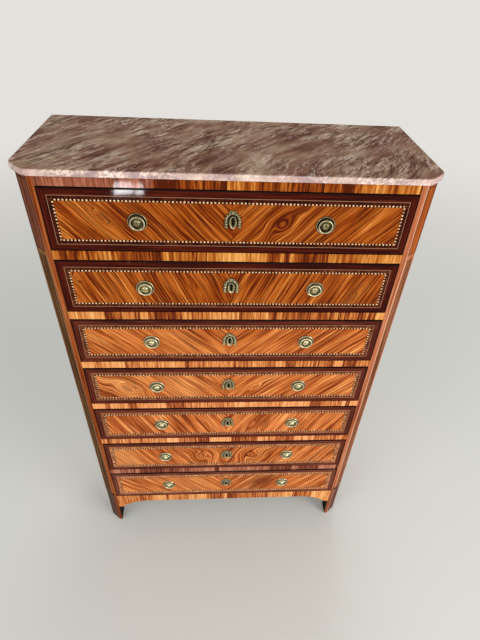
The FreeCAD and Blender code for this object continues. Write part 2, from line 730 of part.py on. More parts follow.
nut_block = box("nut_block", "Sizes.nut_side", "Sizes.nut_thickness", "Sizes.nut_side")
shift(nut_block, "-Sizes.nut_side / 2", "Sizes.front_thickness", "-Sizes.nut_side / 2")
nut_bore = turn(cylinder("nut_bore", "Sizes.stem_radius + Sizes.stem_fit", stem_length),
                FreeCAD.Vector(1, 0, 0), -90)
nut = cut("nut", nut_block, nut_bore)

ring = doc.addObject("Part::Torus", "ring")
bind(ring, {"Radius1": "Sizes.ring_radius", "Radius2": "Sizes.ring_wire"})
turn(ring, FreeCAD.Vector(1, 0, 0), 90)
shift(ring, y=f"-{ring_plane}", z="Sizes.eye_raise - Sizes.ring_radius")


# Escutcheon: a wreath, open below and tied with a bow above, round an oval shield that the
# keyhole goes through. Until the whole is put in place, z = 0 is the wreath's middle.
def oval(name, half_width, half_height, thickness):
    """An upright oval plate whose back is at y = 0."""
    ring_line = doc.addObject("Part::Ellipse", f"{name}_line")
    bind(ring_line, {"MajorRadius": half_height, "MinorRadius": half_width})
    ring_line.Placement = FreeCAD.Placement(
        FreeCAD.Vector(),
        FreeCAD.Rotation(FreeCAD.Vector(0, 0, 1), FreeCAD.Vector(1, 0, 0), FreeCAD.Vector(0, 1, 0)),
    )
    plate_body = doc.addObject("Part::Extrusion", name)
    plate_body.Base = ring_line
    plate_body.DirMode = "Custom"
    plate_body.Dir = FreeCAD.Vector(0, -1, 0)
    plate_body.Solid = True
    return bind(plate_body, {"LengthFwd": thickness})


def arched(name, half_width, rise, thickness):
    """An upright plate with an oval top and straight sides down to the wreath's ends."""
    top = oval(f"{name}_top", half_width, rise, thickness)
    sides = box(f"{name}_sides", f"2 * ({half_width})", thickness, "Sizes.wreath_drop")
    shift(sides, f"-({half_width})", f"-{thickness}", "-Sizes.wreath_drop")
    return fuse(name, [top, sides])


ground = oval("ground", "Sizes.ground_half_width", "Sizes.ground_half_height",
              "Sizes.ground_thickness")
wreath = cut(
    "wreath",
    arched("wreath_outside", "Sizes.wreath_half_width", "Sizes.wreath_rise",
           "Sizes.wreath_height"),
    arched("wreath_inside", "Sizes.wreath_half_width - Sizes.wreath_band",
           "Sizes.wreath_rise - Sizes.wreath_band", "Sizes.wreath_height"),
)
bow = box("bow", "Sizes.bow_width", "Sizes.wreath_height", "Sizes.bow_height")
shift(bow, "-Sizes.bow_width / 2", "-Sizes.wreath_height",
      "Sizes.wreath_rise - Sizes.bow_height / 2")
shield = oval("shield", "Sizes.shield_half_width", "Sizes.shield_half_height",
              "Sizes.shield_height")
shift(shield, z="Sizes.wreath_lower - Sizes.shield_lower")
escutcheon_blank = fuse("escutcheon_blank", [ground, wreath, bow, shield])
shift(escutcheon_blank, y="-Sizes.front_proud", z=f"{keyhole_centre} - Sizes.wreath_lower")
plate_keyhole = shift(keyhole("plate_keyhole", "Sizes.shield_height"),
                      y="-Sizes.front_proud - Sizes.shield_height")
escutcheon = cut("escutcheon", escutcheon_blank,
                 fuse("escutcheon_holes", [plate_keyhole, *pin_holes]))

brasses, rings = [escutcheon, *pins], {}
for name, sign in (("left", "-"), ("right", "")):
    mounted = group(f"pull_{name}", [plate, nut])
    brasses.append(shift(mounted, f"{sign}Sizes.pull_offset", "-Sizes.front_proud", pull_centre))
    hung = group(f"hung_ring_{name}", [ring])
    rings[name] = shift(hung, f"{sign}Sizes.pull_offset", "-Sizes.front_proud", pull_centre)
drawer_brasses = group("drawer_brasses", brasses)

# The seven drawers are alike.
for number in range(1, DRAWERS + 1):
    for part_name, part in (
        ("front", drawer_front),
        ("box", drawer_box),
        ("brasses", drawer_brasses),
        ("lock", drawer_lock),
        ("bolt", bolt),
        ("ring_left", rings["left"]),
        ("ring_right", rings["right"]),
    ):
        node = f"drawer_{number}_{part_name}"
        placed = group(f"{node}_placed", [part])
        keep(node, place(placed, z=opening_bottom(number)))

doc.recompute()

for item in doc.Objects:
    if {"Invalid", "Error"} & set(item.State):
        raise RuntimeError(f"{item.Name} failed: {item.State}")
for node, piece in pieces.items():
    if piece.Shape.isNull() or not piece.Shape.isValid() or not piece.Shape.Solids:
        raise RuntimeError(f"{node} has no valid solid")

os.makedirs("parts", exist_ok=True)
for node, piece in pieces.items():
    piece.Shape.exportStep(f"parts/{node}.step")
    extent = piece.Shape.BoundBox
    print(f"{node}: {len(piece.Shape.Solids)} solids, "
          f"x {extent.XMin:.1f} to {extent.XMax:.1f}, y {extent.YMin:.1f} to {extent.YMax:.1f}, "
          f"z {extent.ZMin:.1f} to {extent.ZMax:.1f}, volume {piece.Shape.Volume:.0f}")
print(f"{len(pieces)} nodes")
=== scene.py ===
import math

import bmesh
import bpy
from mathutils import Matrix, Vector


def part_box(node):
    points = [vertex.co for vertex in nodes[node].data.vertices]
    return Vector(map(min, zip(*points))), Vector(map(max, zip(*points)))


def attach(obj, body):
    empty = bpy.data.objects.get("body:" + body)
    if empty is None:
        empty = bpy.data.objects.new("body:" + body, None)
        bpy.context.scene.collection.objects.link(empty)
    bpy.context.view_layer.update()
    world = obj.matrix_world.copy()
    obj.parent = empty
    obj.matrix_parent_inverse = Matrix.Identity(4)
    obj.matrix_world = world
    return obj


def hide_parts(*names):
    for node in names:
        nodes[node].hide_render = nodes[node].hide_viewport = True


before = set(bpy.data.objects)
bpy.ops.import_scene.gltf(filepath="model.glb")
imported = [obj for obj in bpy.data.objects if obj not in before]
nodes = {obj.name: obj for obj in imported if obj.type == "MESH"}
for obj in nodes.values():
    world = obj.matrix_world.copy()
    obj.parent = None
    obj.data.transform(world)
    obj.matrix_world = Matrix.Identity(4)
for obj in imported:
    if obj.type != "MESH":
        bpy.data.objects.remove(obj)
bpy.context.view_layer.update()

# Hidden carcase: the upright boards of the back, the top and dust boards and the runners.
# Oak, planed by hand and never polished: it has dried to a dull grey-brown, and each board
# has its own tone.


def linear(code):
    """An sRGB hex colour as the linear one that a shader takes."""
    shares = [int(code[place:place + 2], 16) / 255 for place in (1, 3, 5)]
    return [s / 12.92 if s <= 0.04045 else ((s + 0.055) / 1.055) ** 2.4 for s in shares] + [1.0]


def add(tree, kind, sockets=(), stops=(), **settings):
    """Adds a shader node with its settings, and sets or links its sockets. A socket takes a
    number, a hex colour, an output, or a node, whose first output is meant."""
    made = tree.nodes.new("ShaderNode" + kind)
    for name, setting in settings.items():
        setattr(made, name, setting)
    for name, value in dict(sockets).items():
        socket = made.inputs[name] if isinstance(name, int) else next(
            s for s in made.inputs if s.enabled and s.name == name)
        if isinstance(value, bpy.types.Node):
            value = next(s for s in value.outputs if s.enabled)
        if isinstance(value, bpy.types.NodeSocket):
            tree.links.new(value, socket)
        else:
            socket.default_value = linear(value) if isinstance(value, str) else value
    for number, (position, code) in enumerate(stops):
        bands = made.color_ramp.elements
        band = bands[number] if number < len(bands) else bands.new(position)
        band.position = position
        band.color = linear(code)
    return made


def new_material(name, **sockets):
    """A material, its tree, its shader, and the object's own coordinates."""
    made = bpy.data.materials.new(name)
    made.use_nodes = True
    tree = made.node_tree
    shader = tree.nodes["Principled BSDF"]
    for socket, value in sockets.items():
        shader.inputs[socket.replace("_", " ")].default_value = value
    return made, tree, shader, add(tree, "TexCoord").outputs["Object"]


def dress(material, *names):
    """Gives nodes of the frame a material."""
    for name in names:
        nodes[name].data.materials.clear()
        nodes[name].data.materials.append(material)


def bare_wood(name, along, stops, board=None):
    """Unpolished wood with its grain along one axis, cut from boards of a given width."""
    made, tree, shader, place = new_material(name, Roughness=0.62)
    streak_length, streak_width, between_boards, pore_depth = 0.34, 0.012, 0.16, 0.0006
    size = [streak_length if axis == along else streak_width for axis in "XYZ"]
    drawn_out = add(tree, "Mapping", {"Vector": place, "Scale": size}, vector_type="TEXTURE")
    number = 0.0
    if board:
        sides = add(tree, "SeparateXYZ", {"Vector": place})
        count = add(tree, "Math", {0: sides.outputs[board[0]], 1: board[1]}, operation="DIVIDE")
        number = add(tree, "Math", {0: count}, operation="FLOOR")
    figure = add(tree, "TexNoise", {"Vector": drawn_out, "W": number, "Scale": 1.0, "Detail": 5.0,
                                    "Roughness": 0.62, "Distortion": 0.5}, noise_dimensions="4D")
    tint = add(tree, "TexWhiteNoise", {"W": number}, noise_dimensions="1D")
    tone = add(tree, "Math", {0: tint, 1: between_boards, 2: figure}, operation="MULTIPLY_ADD")
    colour = add(tree, "ValToRGB", {"Fac": tone}, stops)
    pores = add(tree, "TexNoise", {"Vector": drawn_out, "Scale": 5.0, "Detail": 2.0})
    relief = add(tree, "Bump", {"Height": pores, "Strength": 0.35, "Distance": pore_depth})
    tree.links.new(colour.outputs[0], shader.inputs["Base Color"])
    tree.links.new(relief.outputs[0], shader.inputs["Normal"])
    return made


OLD_OAK = [(0.30, "#3b2a1c"), (0.50, "#6e5238"), (0.72, "#94724d")]
back_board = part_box("back_boards")[1].x / 2
dress(bare_wood("old_oak_upright", "Z", OLD_OAK, board=("X", back_board)), "back_boards")
dress(bare_wood("old_oak_lengthwise", "X", OLD_OAK), "top_and_dust_boards")
dress(bare_wood("old_oak_front_to_back", "Y", OLD_OAK), "drawer_runners")


# Side panels: oak boards veneered outside with tulipwood, its grain laid in a chevron, inside a
# string of boxwood and a border of amaranth. The lower edge is sawn into two brackets. Like all
# the veneer they are French polished: a thin, hard, clear gloss over wood that is dull itself.
POLISH = {"Roughness": 0.4, "Specular_IOR_Level": 0.0, "Coat_Weight": 0.13,
          "Coat_Roughness": 0.045}
TULIPWOOD = [(0.30, "#6a2708"), (0.42, "#9a4513"), (0.53, "#c06a2a"), (0.64, "#d88a45"),
             (0.74, "#e8a664")]
AMARANTH = [(0.30, "#220605"), (0.50, "#3c110b"), (0.72, "#5a2415")]
BANDING = [(0.30, "#45180a"), (0.50, "#6b3216"), (0.72, "#8d5028")]
SUBSTRATE = [(0.30, "#5b432d"), (0.50, "#7f6040"), (0.72, "#a17f58")]
BOXWOOD, INK = "#9c7658", "#150604"
veneer_depth = 0.0006
front_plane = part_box("drawer_rails")[0].y


def veneer(tree, across, along, stops, seed, streak=0.0036, length=0.17, lines=0.85):
    """Long-grain veneer: broad bands and narrower streaks, with thin dark lines among them.
    The lines are drawn about 1 mm wide, coarser than real pores, so that they show."""
    long = add(tree, "Math", {0: along, 1: 1 / length}, operation="MULTIPLY")
    noises = []
    for size, detail, roughness in ((4.6, 2.0, 0.5), (1.0, 4.0, 0.66), (0.6, 1.0, 0.5)):
        wide = add(tree, "Math", {0: across, 1: 1 / (size * streak)}, operation="MULTIPLY")
        drawn_out = add(tree, "CombineXYZ", {"X": wide, "Y": long, "Z": seed})
        noises.append(add(tree, "TexNoise", {"Vector": drawn_out, "Scale": 1.0,
                                             "Detail": detail, "Roughness": roughness}))
    bands, streaks, pores = noises
    tone = add(tree, "Math", {0: bands, 1: 0.5, 2: streaks}, operation="MULTIPLY_ADD")
    tone = add(tree, "Math", {0: tone, 1: 0.25}, operation="SUBTRACT")
    colour = add(tree, "ValToRGB", {"Fac": tone}, stops)
    line = add(tree, "MapRange", {"Value": pores, "From Min": 0.56, "From Max": 0.65,
                                  "To Max": lines}, interpolation_type="SMOOTHSTEP")
    return add(tree, "Mix", {"Factor": line, "A": colour, "B": stops[0][1]}, data_type="RGBA")


def marquetry(tree, u, v, rectangle, angle, woods, seed, figures=(), wavy=0.012,
              edging=AMARANTH, band=BANDING):
    """A veneered panel in the plane of u and v. From its edge inwards: border, string,
    banding, a string of light and dark squares, and a field that meets in a V. Figures are
    knots: middle, half length, half width, how closely the rings lie, or 0 for no rings, and
    how much paler the wood is there."""
    half, low, high = rectangle
    from_side = add(tree, "Math", {0: half, 1: add(tree, "Math", {0: u}, operation="ABSOLUTE")},
                    operation="SUBTRACT")
    from_end = add(tree, "Math", {0: add(tree, "Math", {0: v, 1: low}, operation="SUBTRACT"),
                                  1: add(tree, "Math", {0: high, 1: v}, operation="SUBTRACT")},
                   operation="MINIMUM")
    depth = add(tree, "Math", {0: from_side, 1: from_end}, operation="MINIMUM")
    upright = add(tree, "Math", {0: from_side, 1: from_end}, operation="LESS_THAN")
    run = add(tree, "Mix", {"Factor": upright, "A": u, "B": v})

    # The field: its halves mirror each other across the middle, in separate leaves of veneer.
    mirrored = add(tree, "CombineXYZ", {"X": add(tree, "Math", {0: u}, operation="ABSOLUTE"),
                                        "Z": v})
    flat = add(tree, "CombineXYZ", {"X": u, "Z": v})
    sine, cosine = math.sin(angle), math.cos(angle)
    across = add(tree, "VectorMath", {0: mirrored, 1: (sine, 0, -cosine)},
                 operation="DOT_PRODUCT").outputs["Value"]
    along = add(tree, "VectorMath", {0: mirrored, 1: (cosine, 0, sine)},
                operation="DOT_PRODUCT").outputs["Value"]
    waves_in_a_metre, shakes_in_a_metre = 9.0, 15.0
    waves = add(tree, "TexNoise", {"Vector": flat, "W": seed, "Scale": waves_in_a_metre,
                                   "Detail": 3.0}, noise_dimensions="4D")
    across = add(tree, "Math", {0: waves, 1: wavy, 2: across}, operation="MULTIPLY_ADD")
    shake = add(tree, "TexNoise", {"Vector": flat, "Scale": shakes_in_a_metre, "Detail": 1.0})
    shake = add(tree, "VectorMath", {0: shake.outputs["Color"], 1: (0.5, 0.5, 0.5)},
                operation="SUBTRACT")
    # A knot bends the grain round it, out to knot_reach times its own size.
    glow, knot_reach = 0.0, 1.8
    for (x, z), half_length, half_width, rings, paler in figures:
        lean = -angle if x > 0 else angle
        local = add(tree, "Mapping", {"Vector": flat, "Location": (x, 0, z),
                                      "Rotation": (0, lean, 0),
                                      "Scale": (half_length, 1, half_width)},
                    vector_type="TEXTURE")
        local = add(tree, "VectorMath", {0: shake, 1: (1.0, 0.0, 1.0), 2: local},
                    operation="MULTIPLY_ADD")
        reach = add(tree, "VectorMath", {0: local}, operation="LENGTH").outputs["Value"]
        swell = add(tree, "MapRange", {"Value": reach, "From Max": knot_reach, "To Min": 1.0,
                                       "To Max": 0.0}, interpolation_type="SMOOTHSTEP")
        if rings:
            at_middle = abs(x) * sine - z * cosine
            eye = add(tree, "Math", {0: reach, 1: half_width * rings, 2: at_middle},
                      operation="MULTIPLY_ADD")
            across = add(tree, "Mix", {"Factor": swell, "A": across, "B": eye})
        glow = add(tree, "Math", {0: swell, 1: paler, 2: glow}, operation="MULTIPLY_ADD")
    side = add(tree, "Math", {0: u, 1: 0.0}, operation="GREATER_THAN")
    other_leaf = 7.3
    leaf = add(tree, "Math", {0: side, 1: other_leaf, 2: seed}, operation="MULTIPLY_ADD")
    colour = veneer(tree, across, along, woods, leaf)
    for side_of_zero, extreme in ((1, woods[-1][1]), (-1, woods[0][1])):
        share = add(tree, "Math", {0: glow, 1: side_of_zero}, operation="MULTIPLY",
                    use_clamp=True)
        colour = add(tree, "Mix", {"Factor": share, "A": colour, "B": extreme},
                     data_type="RGBA")

    # The frame round it, from the inside out, and how far in from the edge each strip ends.
    border = veneer(tree, depth, run, edging, seed + 3.0, lines=0.2)
    banding = veneer(tree, run, depth, band, seed + 5.0, length=0.04)
    pitch, light_share = 0.0083, 0.46
    count = add(tree, "Math", {0: run, 1: pitch}, operation="DIVIDE")
    light = add(tree, "Math", {0: add(tree, "Math", {0: count}, operation="FRACT"),
                               1: light_share}, operation="LESS_THAN")
    tint = add(tree, "TexWhiteNoise", {"W": add(tree, "Math", {0: count}, operation="FLOOR")},
               noise_dimensions="1D")
    pale = add(tree, "ValToRGB", {"Fac": tint},
               [(0.0, "#b88558"), (0.35, "#dba578"), (1.0, "#edc79a")])
    squares = add(tree, "Mix", {"Factor": light, "A": INK, "B": pale}, data_type="RGBA")
    for limit, wood in ((0.0318, INK), (0.0311, squares), (0.0274, INK), (0.0267, banding),
                        (0.0196, BOXWOOD), (0.0186, border), (0.0042, INK)):
        inside = add(tree, "Math", {0: depth, 1: limit}, operation="LESS_THAN")
        colour = add(tree, "Mix", {"Factor": inside, "A": colour, "B": wood}, data_type="RGBA")
    return colour


def over_oak(tree, shader, place, colour, shown, grain=(0.08, 0.012, 0.012)):
    """Colours a shader with veneer where shown is 1, and elsewhere with the oak that it is
    glued to, painted nearly black just behind the front as painted shade in the gaps."""
    drawn_out = add(tree, "Mapping", {"Vector": place, "Scale": grain}, vector_type="TEXTURE")
    figure = add(tree, "TexNoise", {"Vector": drawn_out, "Scale": 1.0, "Detail": 4.0})
    oak = add(tree, "ValToRGB", {"Fac": figure}, SUBSTRATE)
    back = add(tree, "SeparateXYZ", {"Vector": place}).outputs["Y"]
    # Painted shade: the oak is painted nearly black just behind the front, where the gaps round
    # the drawers lie in shade.
    black_to, unshaded_from = front_plane + 0.008, front_plane + 0.03
    gap_shade = add(tree, "MapRange", {"Value": back, "From Min": black_to, "From Max": unshaded_from,
                                  "To Min": 0.92, "To Max": 0.0})
    oak = add(tree, "Mix", {"Factor": gap_shade, "A": oak, "B": "#150a06"}, data_type="RGBA")
    colour = add(tree, "Mix", {"Factor": shown, "A": oak, "B": colour}, data_type="RGBA")
    tree.links.new(colour.outputs[2], shader.inputs["Base Color"])


case_half, skirt_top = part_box("front_post_right")[1].x, 0.16
for name, outside in (("side_panel_right", 1), ("side_panel_left", -1)):
    made, tree, shader, place = new_material(name + "_veneer", **POLISH)
    x, y, z = add(tree, "SeparateXYZ", {"Vector": place}).outputs
    low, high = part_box(name)
    middle = (low.y + high.y) / 2
    u = add(tree, "Math", {0: y, 1: middle}, operation="SUBTRACT")
    colour = marquetry(tree, u, z, ((high.y - low.y) / 2, skirt_top, high.z),
                       math.radians(52), TULIPWOOD, 31.0 + outside)
    skirt = veneer(tree, y, z, TULIPWOOD, 11.0 + outside)
    above = add(tree, "Math", {0: z, 1: skirt_top}, operation="GREATER_THAN")
    colour = add(tree, "Mix", {"Factor": above, "A": skirt, "B": colour}, data_type="RGBA")
    out = add(tree, "Math", {0: x, 1: outside}, operation="MULTIPLY")
    shown = add(tree, "Math", {0: out, 1: case_half - veneer_depth}, operation="GREATER_THAN")
    over_oak(tree, shader, place, colour, shown)
    dress(made, name)


# Front posts: oak veneered beside the drawers, on the outer side and on the canted corner,
# which has three flutes cut below a plain panel in a dark frame. A groove parts them from the
# foot block. The flutes' hollows are painted dark, and the groove, a band over it and the inner
# face of the leg black: all painted shade.
made, tree, shader, place = new_material("post_veneer", **POLISH)
x, y, height = add(tree, "SeparateXYZ", {"Vector": place}).outputs
opening_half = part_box("drawer_rails")[1].x
strip, cant_across, cant_deep = 0.013, 0.029, 0.025
cant_length = math.hypot(cant_across, cant_deep)
foot_line, groove_top, shade_band_top, arris = 0.183, 0.189, 0.196, 0.0003
outward = add(tree, "Math", {0: x}, operation="ABSOLUTE")
from_edge = add(tree, "Math", {0: outward, 1: opening_half + strip}, operation="SUBTRACT")
from_front = add(tree, "Math", {0: y, 1: front_plane}, operation="SUBTRACT")
corner = add(tree, "CombineXYZ", {"X": from_edge, "Y": from_front})
# How far a point lies along the cant from its front arris, and how far behind its face.
along_cant = add(tree, "VectorMath",
                 {0: corner, 1: (cant_across / cant_length, cant_deep / cant_length, 0)},
                 operation="DOT_PRODUCT").outputs["Value"]
behind_cant = add(tree, "VectorMath",
                  {0: corner, 1: (-cant_deep / cant_length, cant_across / cant_length, 0)},
                  operation="DOT_PRODUCT").outputs["Value"]
on_cant = add(tree, "Math", {0: from_edge, 1: cant_across / 2, 2: cant_across / 2 - arris},
              operation="COMPARE")
on_right = add(tree, "Math", {0: x, 1: 0.0}, operation="GREATER_THAN")
around = add(tree, "Math", {0: from_edge, 1: from_front}, operation="ADD")
# Left and right post were cut from different planks.
woods = {
    "strip": ([(0.30, "#561c07"), (0.44, "#803c13"), (0.56, "#985026"), (0.70, "#b06a3a")],
              [(0.30, "#7c3820"), (0.44, "#9e5634"), (0.56, "#b26d49"), (0.70, "#c88a66")]),
    "panel": ([(0.30, "#46200f"), (0.46, "#6e3a26"), (0.58, "#844c36"), (0.72, "#9c644c")],
              [(0.30, "#702a07"), (0.46, "#90420d"), (0.58, "#a4581e"), (0.72, "#ba7238")]),
    "flutes": ([(0.30, "#4e2c14"), (0.46, "#724a28"), (0.58, "#886038"), (0.72, "#9e764c")],
               [(0.30, "#743e22"), (0.46, "#985a38"), (0.58, "#ae6e4c"), (0.72, "#c48864")]),
    "foot": ([(0.30, "#36221c"), (0.46, "#54392f"), (0.60, "#6e5347"), (0.72, "#8a6e60")],
             [(0.30, "#3e1d14"), (0.46, "#5c3328"), (0.60, "#744a3c"), (0.72, "#8e6658")]),
}
faces = {}
for number, (part, planks) in enumerate(woods.items()):
    across = around if part == "strip" else along_cant
    left, right = (veneer(tree, across, height, stops, 4.0 + number + side, length=0.25)
                   for side, stops in enumerate(planks))
    faces[part] = add(tree, "Mix", {"Factor": on_right, "A": left, "B": right},
                      data_type="RGBA")
low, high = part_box("drawer_1_front")
panel_below, panel_above = 0.004, 0.014
panel_low, panel_high = low.z - panel_below, high.z + panel_above
beside_panel = add(tree, "Math", {0: height, 1: panel_low}, operation="GREATER_THAN")
on_foot = add(tree, "Math", {0: height, 1: (foot_line + groove_top) / 2}, operation="LESS_THAN")
cant = add(tree, "Mix", {"Factor": beside_panel, "A": faces["flutes"], "B": faces["panel"]},
           data_type="RGBA")
cant = add(tree, "Mix", {"Factor": on_foot, "A": cant, "B": faces["foot"]}, data_type="RGBA")
wear_and_highlight = add(tree, "Math", {0: on_foot, 1: 0.35}, operation="MULTIPLY")
strip_face = add(tree, "Mix", {"Factor": wear_and_highlight, "A": faces["strip"], "B": "#4a1c10"},
                 data_type="RGBA")
colour = add(tree, "Mix", {"Factor": on_cant, "A": strip_face, "B": cant}, data_type="RGBA")
# A pale line along the arris beside the drawers is a painted highlight, stronger on the right,
# where the light comes from.
rub_and_glint, half_glint = -0.0002, 0.0011
near_arris = add(tree, "Math", {0: from_edge, 1: rub_and_glint, 2: half_glint}, operation="COMPARE")
wear_and_highlight = add(tree, "MapRange", {"Value": on_right, "To Min": 0.1, "To Max": 0.6})
wear_and_highlight = add(tree, "Math", {0: near_arris, 1: wear_and_highlight}, operation="MULTIPLY")
colour = add(tree, "Mix", {"Factor": wear_and_highlight, "A": colour, "B": "#e6b496"}, data_type="RGBA")
# The dark frame of the plain panel, and painted shade in the flutes' hollows.
frame_side, frame_end_half = 0.0055, 0.002
flute_arris, flute_floor, flutes_from = 0.0001, 0.0009, groove_top + 0.001
from_middle = add(tree, "Math", {0: along_cant, 1: cant_length / 2}, operation="SUBTRACT")
aside = add(tree, "Math", {0: from_middle}, operation="ABSOLUTE")
rim = add(tree, "Math", {0: aside, 1: cant_length / 2 - frame_side}, operation="GREATER_THAN")
rim = add(tree, "Math", {0: rim, 1: beside_panel}, operation="MULTIPLY")
for end in (panel_high, panel_low):
    at_end = add(tree, "Math", {0: height, 1: end, 2: frame_end_half}, operation="COMPARE")
    rim = add(tree, "Math", {0: rim, 1: at_end}, operation="MAXIMUM")
rim = add(tree, "Math", {0: rim, 1: 0.6}, operation="MULTIPLY")
hollow = add(tree, "MapRange", {"Value": behind_cant, "From Min": flute_arris,
                                "From Max": flute_floor, "To Max": 0.95})
over_foot = add(tree, "Math", {0: height, 1: flutes_from}, operation="GREATER_THAN")
hollow = add(tree, "Math", {0: hollow, 1: over_foot}, operation="MULTIPLY")
dark = add(tree, "Math", {0: rim, 1: hollow}, operation="MAXIMUM")
dark = add(tree, "Math", {0: dark, 1: on_cant}, operation="MULTIPLY")
colour = add(tree, "Mix", {"Factor": dark, "A": colour, "B": "#1d0f08"}, data_type="RGBA")
# Painted shade: the groove over the foot block and a black band along its upper lip, both
# reaching a little way into the strip, and the inner face of the leg, all painted black.
lip, into_strip, shade_depth = 0.0004, 0.0055, 0.0005
in_groove = add(tree, "Math", {0: height, 1: (foot_line + shade_band_top) / 2,
                               2: (shade_band_top - foot_line) / 2 + lip}, operation="COMPARE")
near_cant = add(tree, "Math", {0: from_edge, 1: -into_strip}, operation="GREATER_THAN")
in_groove = add(tree, "Math", {0: in_groove, 1: near_cant}, operation="MULTIPLY")
inner = add(tree, "Math", {0: outward, 1: opening_half + shade_depth}, operation="LESS_THAN")
behind = add(tree, "Math", {0: from_front, 1: veneer_depth}, operation="GREATER_THAN")
inner = add(tree, "Math", {0: inner, 1: behind}, operation="MULTIPLY")
black = add(tree, "Math", {0: in_groove, 1: inner}, operation="MAXIMUM")
colour = add(tree, "Mix", {"Factor": black, "A": colour, "B": "#0c0604"}, data_type="RGBA")
tree.links.new(colour.outputs[2], shader.inputs["Base Color"])
dress(made, "front_post_right", "front_post_left")


# Rear posts: square oak, veneered on their outer face only.
made, tree, shader, place = new_material("rear_post_veneer", **POLISH)
x, y, z = add(tree, "SeparateXYZ", {"Vector": place}).outputs
outward = add(tree, "Math", {0: x}, operation="ABSOLUTE")
shown = add(tree, "Math", {0: outward, 1: case_half - veneer_depth}, operation="GREATER_THAN")
colour = veneer(tree, y, z, woods["strip"][0], 2.0, length=0.25)
over_oak(tree, shader, place, colour, shown, grain=(0.012, 0.012, 0.08))
dress(made, "rear_posts")


# Rails and apron: oak strips faced with tulipwood offcuts set side by side with the grain
# upright, so every block has its own tone, from golden to nearly black-brown. A block is some
# 36 mm wide, and no two are alike. The rails have lost most of their polish.
made, tree, shader, place = new_material("cross_banded_rails",
                                         **POLISH | {"Coat_Weight": 0.08})
x, y, height = add(tree, "SeparateXYZ", {"Vector": place}).outputs
pitch = (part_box("drawer_1_front")[0].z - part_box("drawer_7_front")[0].z) / 6
row = add(tree, "Math", {0: height, 1: pitch}, operation="DIVIDE")
row = add(tree, "Math", {0: row}, operation="FLOOR")
block_width, shift, shifts_in_a_metre = 0.036, 0.11, 16.0
spread = add(tree, "TexNoise", {"Vector": x, "W": row, "Detail": 0.0,
                                "Scale": shifts_in_a_metre}, noise_dimensions="4D")
shifted = add(tree, "Math", {0: spread, 1: shift, 2: x}, operation="MULTIPLY_ADD")
block = add(tree, "Math", {0: shifted, 1: block_width}, operation="DIVIDE")
block = add(tree, "Math", {0: block}, operation="FLOOR")
tint = add(tree, "TexWhiteNoise", {"Vector": block, "W": row}, noise_dimensions="4D")
streak_width, streak_length = 0.0034, 0.07
wide = add(tree, "Math", {0: x, 1: 1 / streak_width}, operation="MULTIPLY")
long = add(tree, "Math", {0: height, 1: 1 / streak_length}, operation="MULTIPLY")
drawn_out = add(tree, "CombineXYZ", {"X": wide, "Y": long, "Z": block})
streaks = add(tree, "TexNoise", {"Vector": drawn_out, "Scale": 0.7, "Detail": 3.0,
                                 "Roughness": 0.6})
tone = add(tree, "Math", {0: tint, 1: 0.34, 2: streaks}, operation="MULTIPLY_ADD")
# The tone is lowered by a fixed share, and on the top rail by a little more: painted shade under
# the marble.
top_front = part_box("drawer_1_front")[1].z
on_top_rail = add(tree, "Math", {0: height, 1: top_front}, operation="GREATER_THAN")
tone_drop_and_shade = add(tree, "Math", {0: on_top_rail, 1: 0.09, 2: 0.19}, operation="MULTIPLY_ADD")
tone = add(tree, "Math", {0: tone, 1: tone_drop_and_shade}, operation="SUBTRACT")
# The upper rails are painted darker and the lower ones paler, the apron less so: painted shade
# towards the marble and painted light lower down. The lowest rail and the left end of the top one
# take a duller, redder colour, which at the top rail's left end also holds a painted reflection.
dark, pale, dull = (add(tree, "ValToRGB", {"Fac": tone}, stops) for stops in (
    [(0.26, "#4c1a06"), (0.38, "#843a0e"), (0.50, "#a85f20"), (0.62, "#c4803a"),
     (0.78, "#e0a85c")],
    [(0.26, "#703018"), (0.38, "#a8592c"), (0.50, "#d68750"), (0.62, "#ea9f66"),
     (0.78, "#f8bc80")],
    [(0.26, "#50211a"), (0.38, "#763f2c"), (0.50, "#90533d"), (0.62, "#a86a51"),
     (0.78, "#bc8266")]))
dark_from, pale_to = 1.24, 0.66
share = add(tree, "MapRange", {"Value": height, "From Min": dark_from, "From Max": pale_to})
on_apron = add(tree, "Math", {0: height, 1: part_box("apron")[1].z}, operation="LESS_THAN")
on_apron = add(tree, "Math", {0: on_apron, 1: 0.4}, operation="MULTIPLY")
share = add(tree, "Math", {0: share, 1: on_apron}, operation="SUBTRACT")
colour = add(tree, "Mix", {"Factor": share, "A": dark, "B": pale}, data_type="RGBA")
lowest_rail, reach, dull_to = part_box("drawer_7_front")[1].z + 0.012, 0.02, -0.17
share = add(tree, "Math", {0: height, 1: lowest_rail, 2: reach}, operation="COMPARE")
# At the top rail's left end this duller, redder colour also stands for a painted pinkish
# reflection.
at_left = add(tree, "Math", {0: x, 1: dull_to}, operation="LESS_THAN")
at_left = add(tree, "Math", {0: at_left, 1: on_top_rail}, operation="MULTIPLY")
share = add(tree, "Math", {0: share, 1: at_left}, operation="MAXIMUM")
colour = add(tree, "Mix", {"Factor": share, "A": colour, "B": dull}, data_type="RGBA")
ahead = add(tree, "Math", {0: y, 1: front_plane + veneer_depth}, operation="LESS_THAN")
over_oak(tree, shader, place, colour, ahead)
dress(made, "drawer_rails", "apron")


# Drawer boxes: thin quarter-sawn oak sides, back and bottom, left bare. The sides' grain runs
# front to back and the others' from side to side.
made, tree, shader, place = new_material("drawer_oak", Roughness=0.58)
x = add(tree, "SeparateXYZ", {"Vector": place}).outputs["X"]
outward = add(tree, "Math", {0: x}, operation="ABSOLUTE")
side_wall, long, wide, pore_depth = 0.0101, 1 / 3, 1 / 90, 0.0005
in_side = add(tree, "Math", {0: outward, 1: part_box("drawer_1_box")[1].x - side_wall},
              operation="GREATER_THAN")
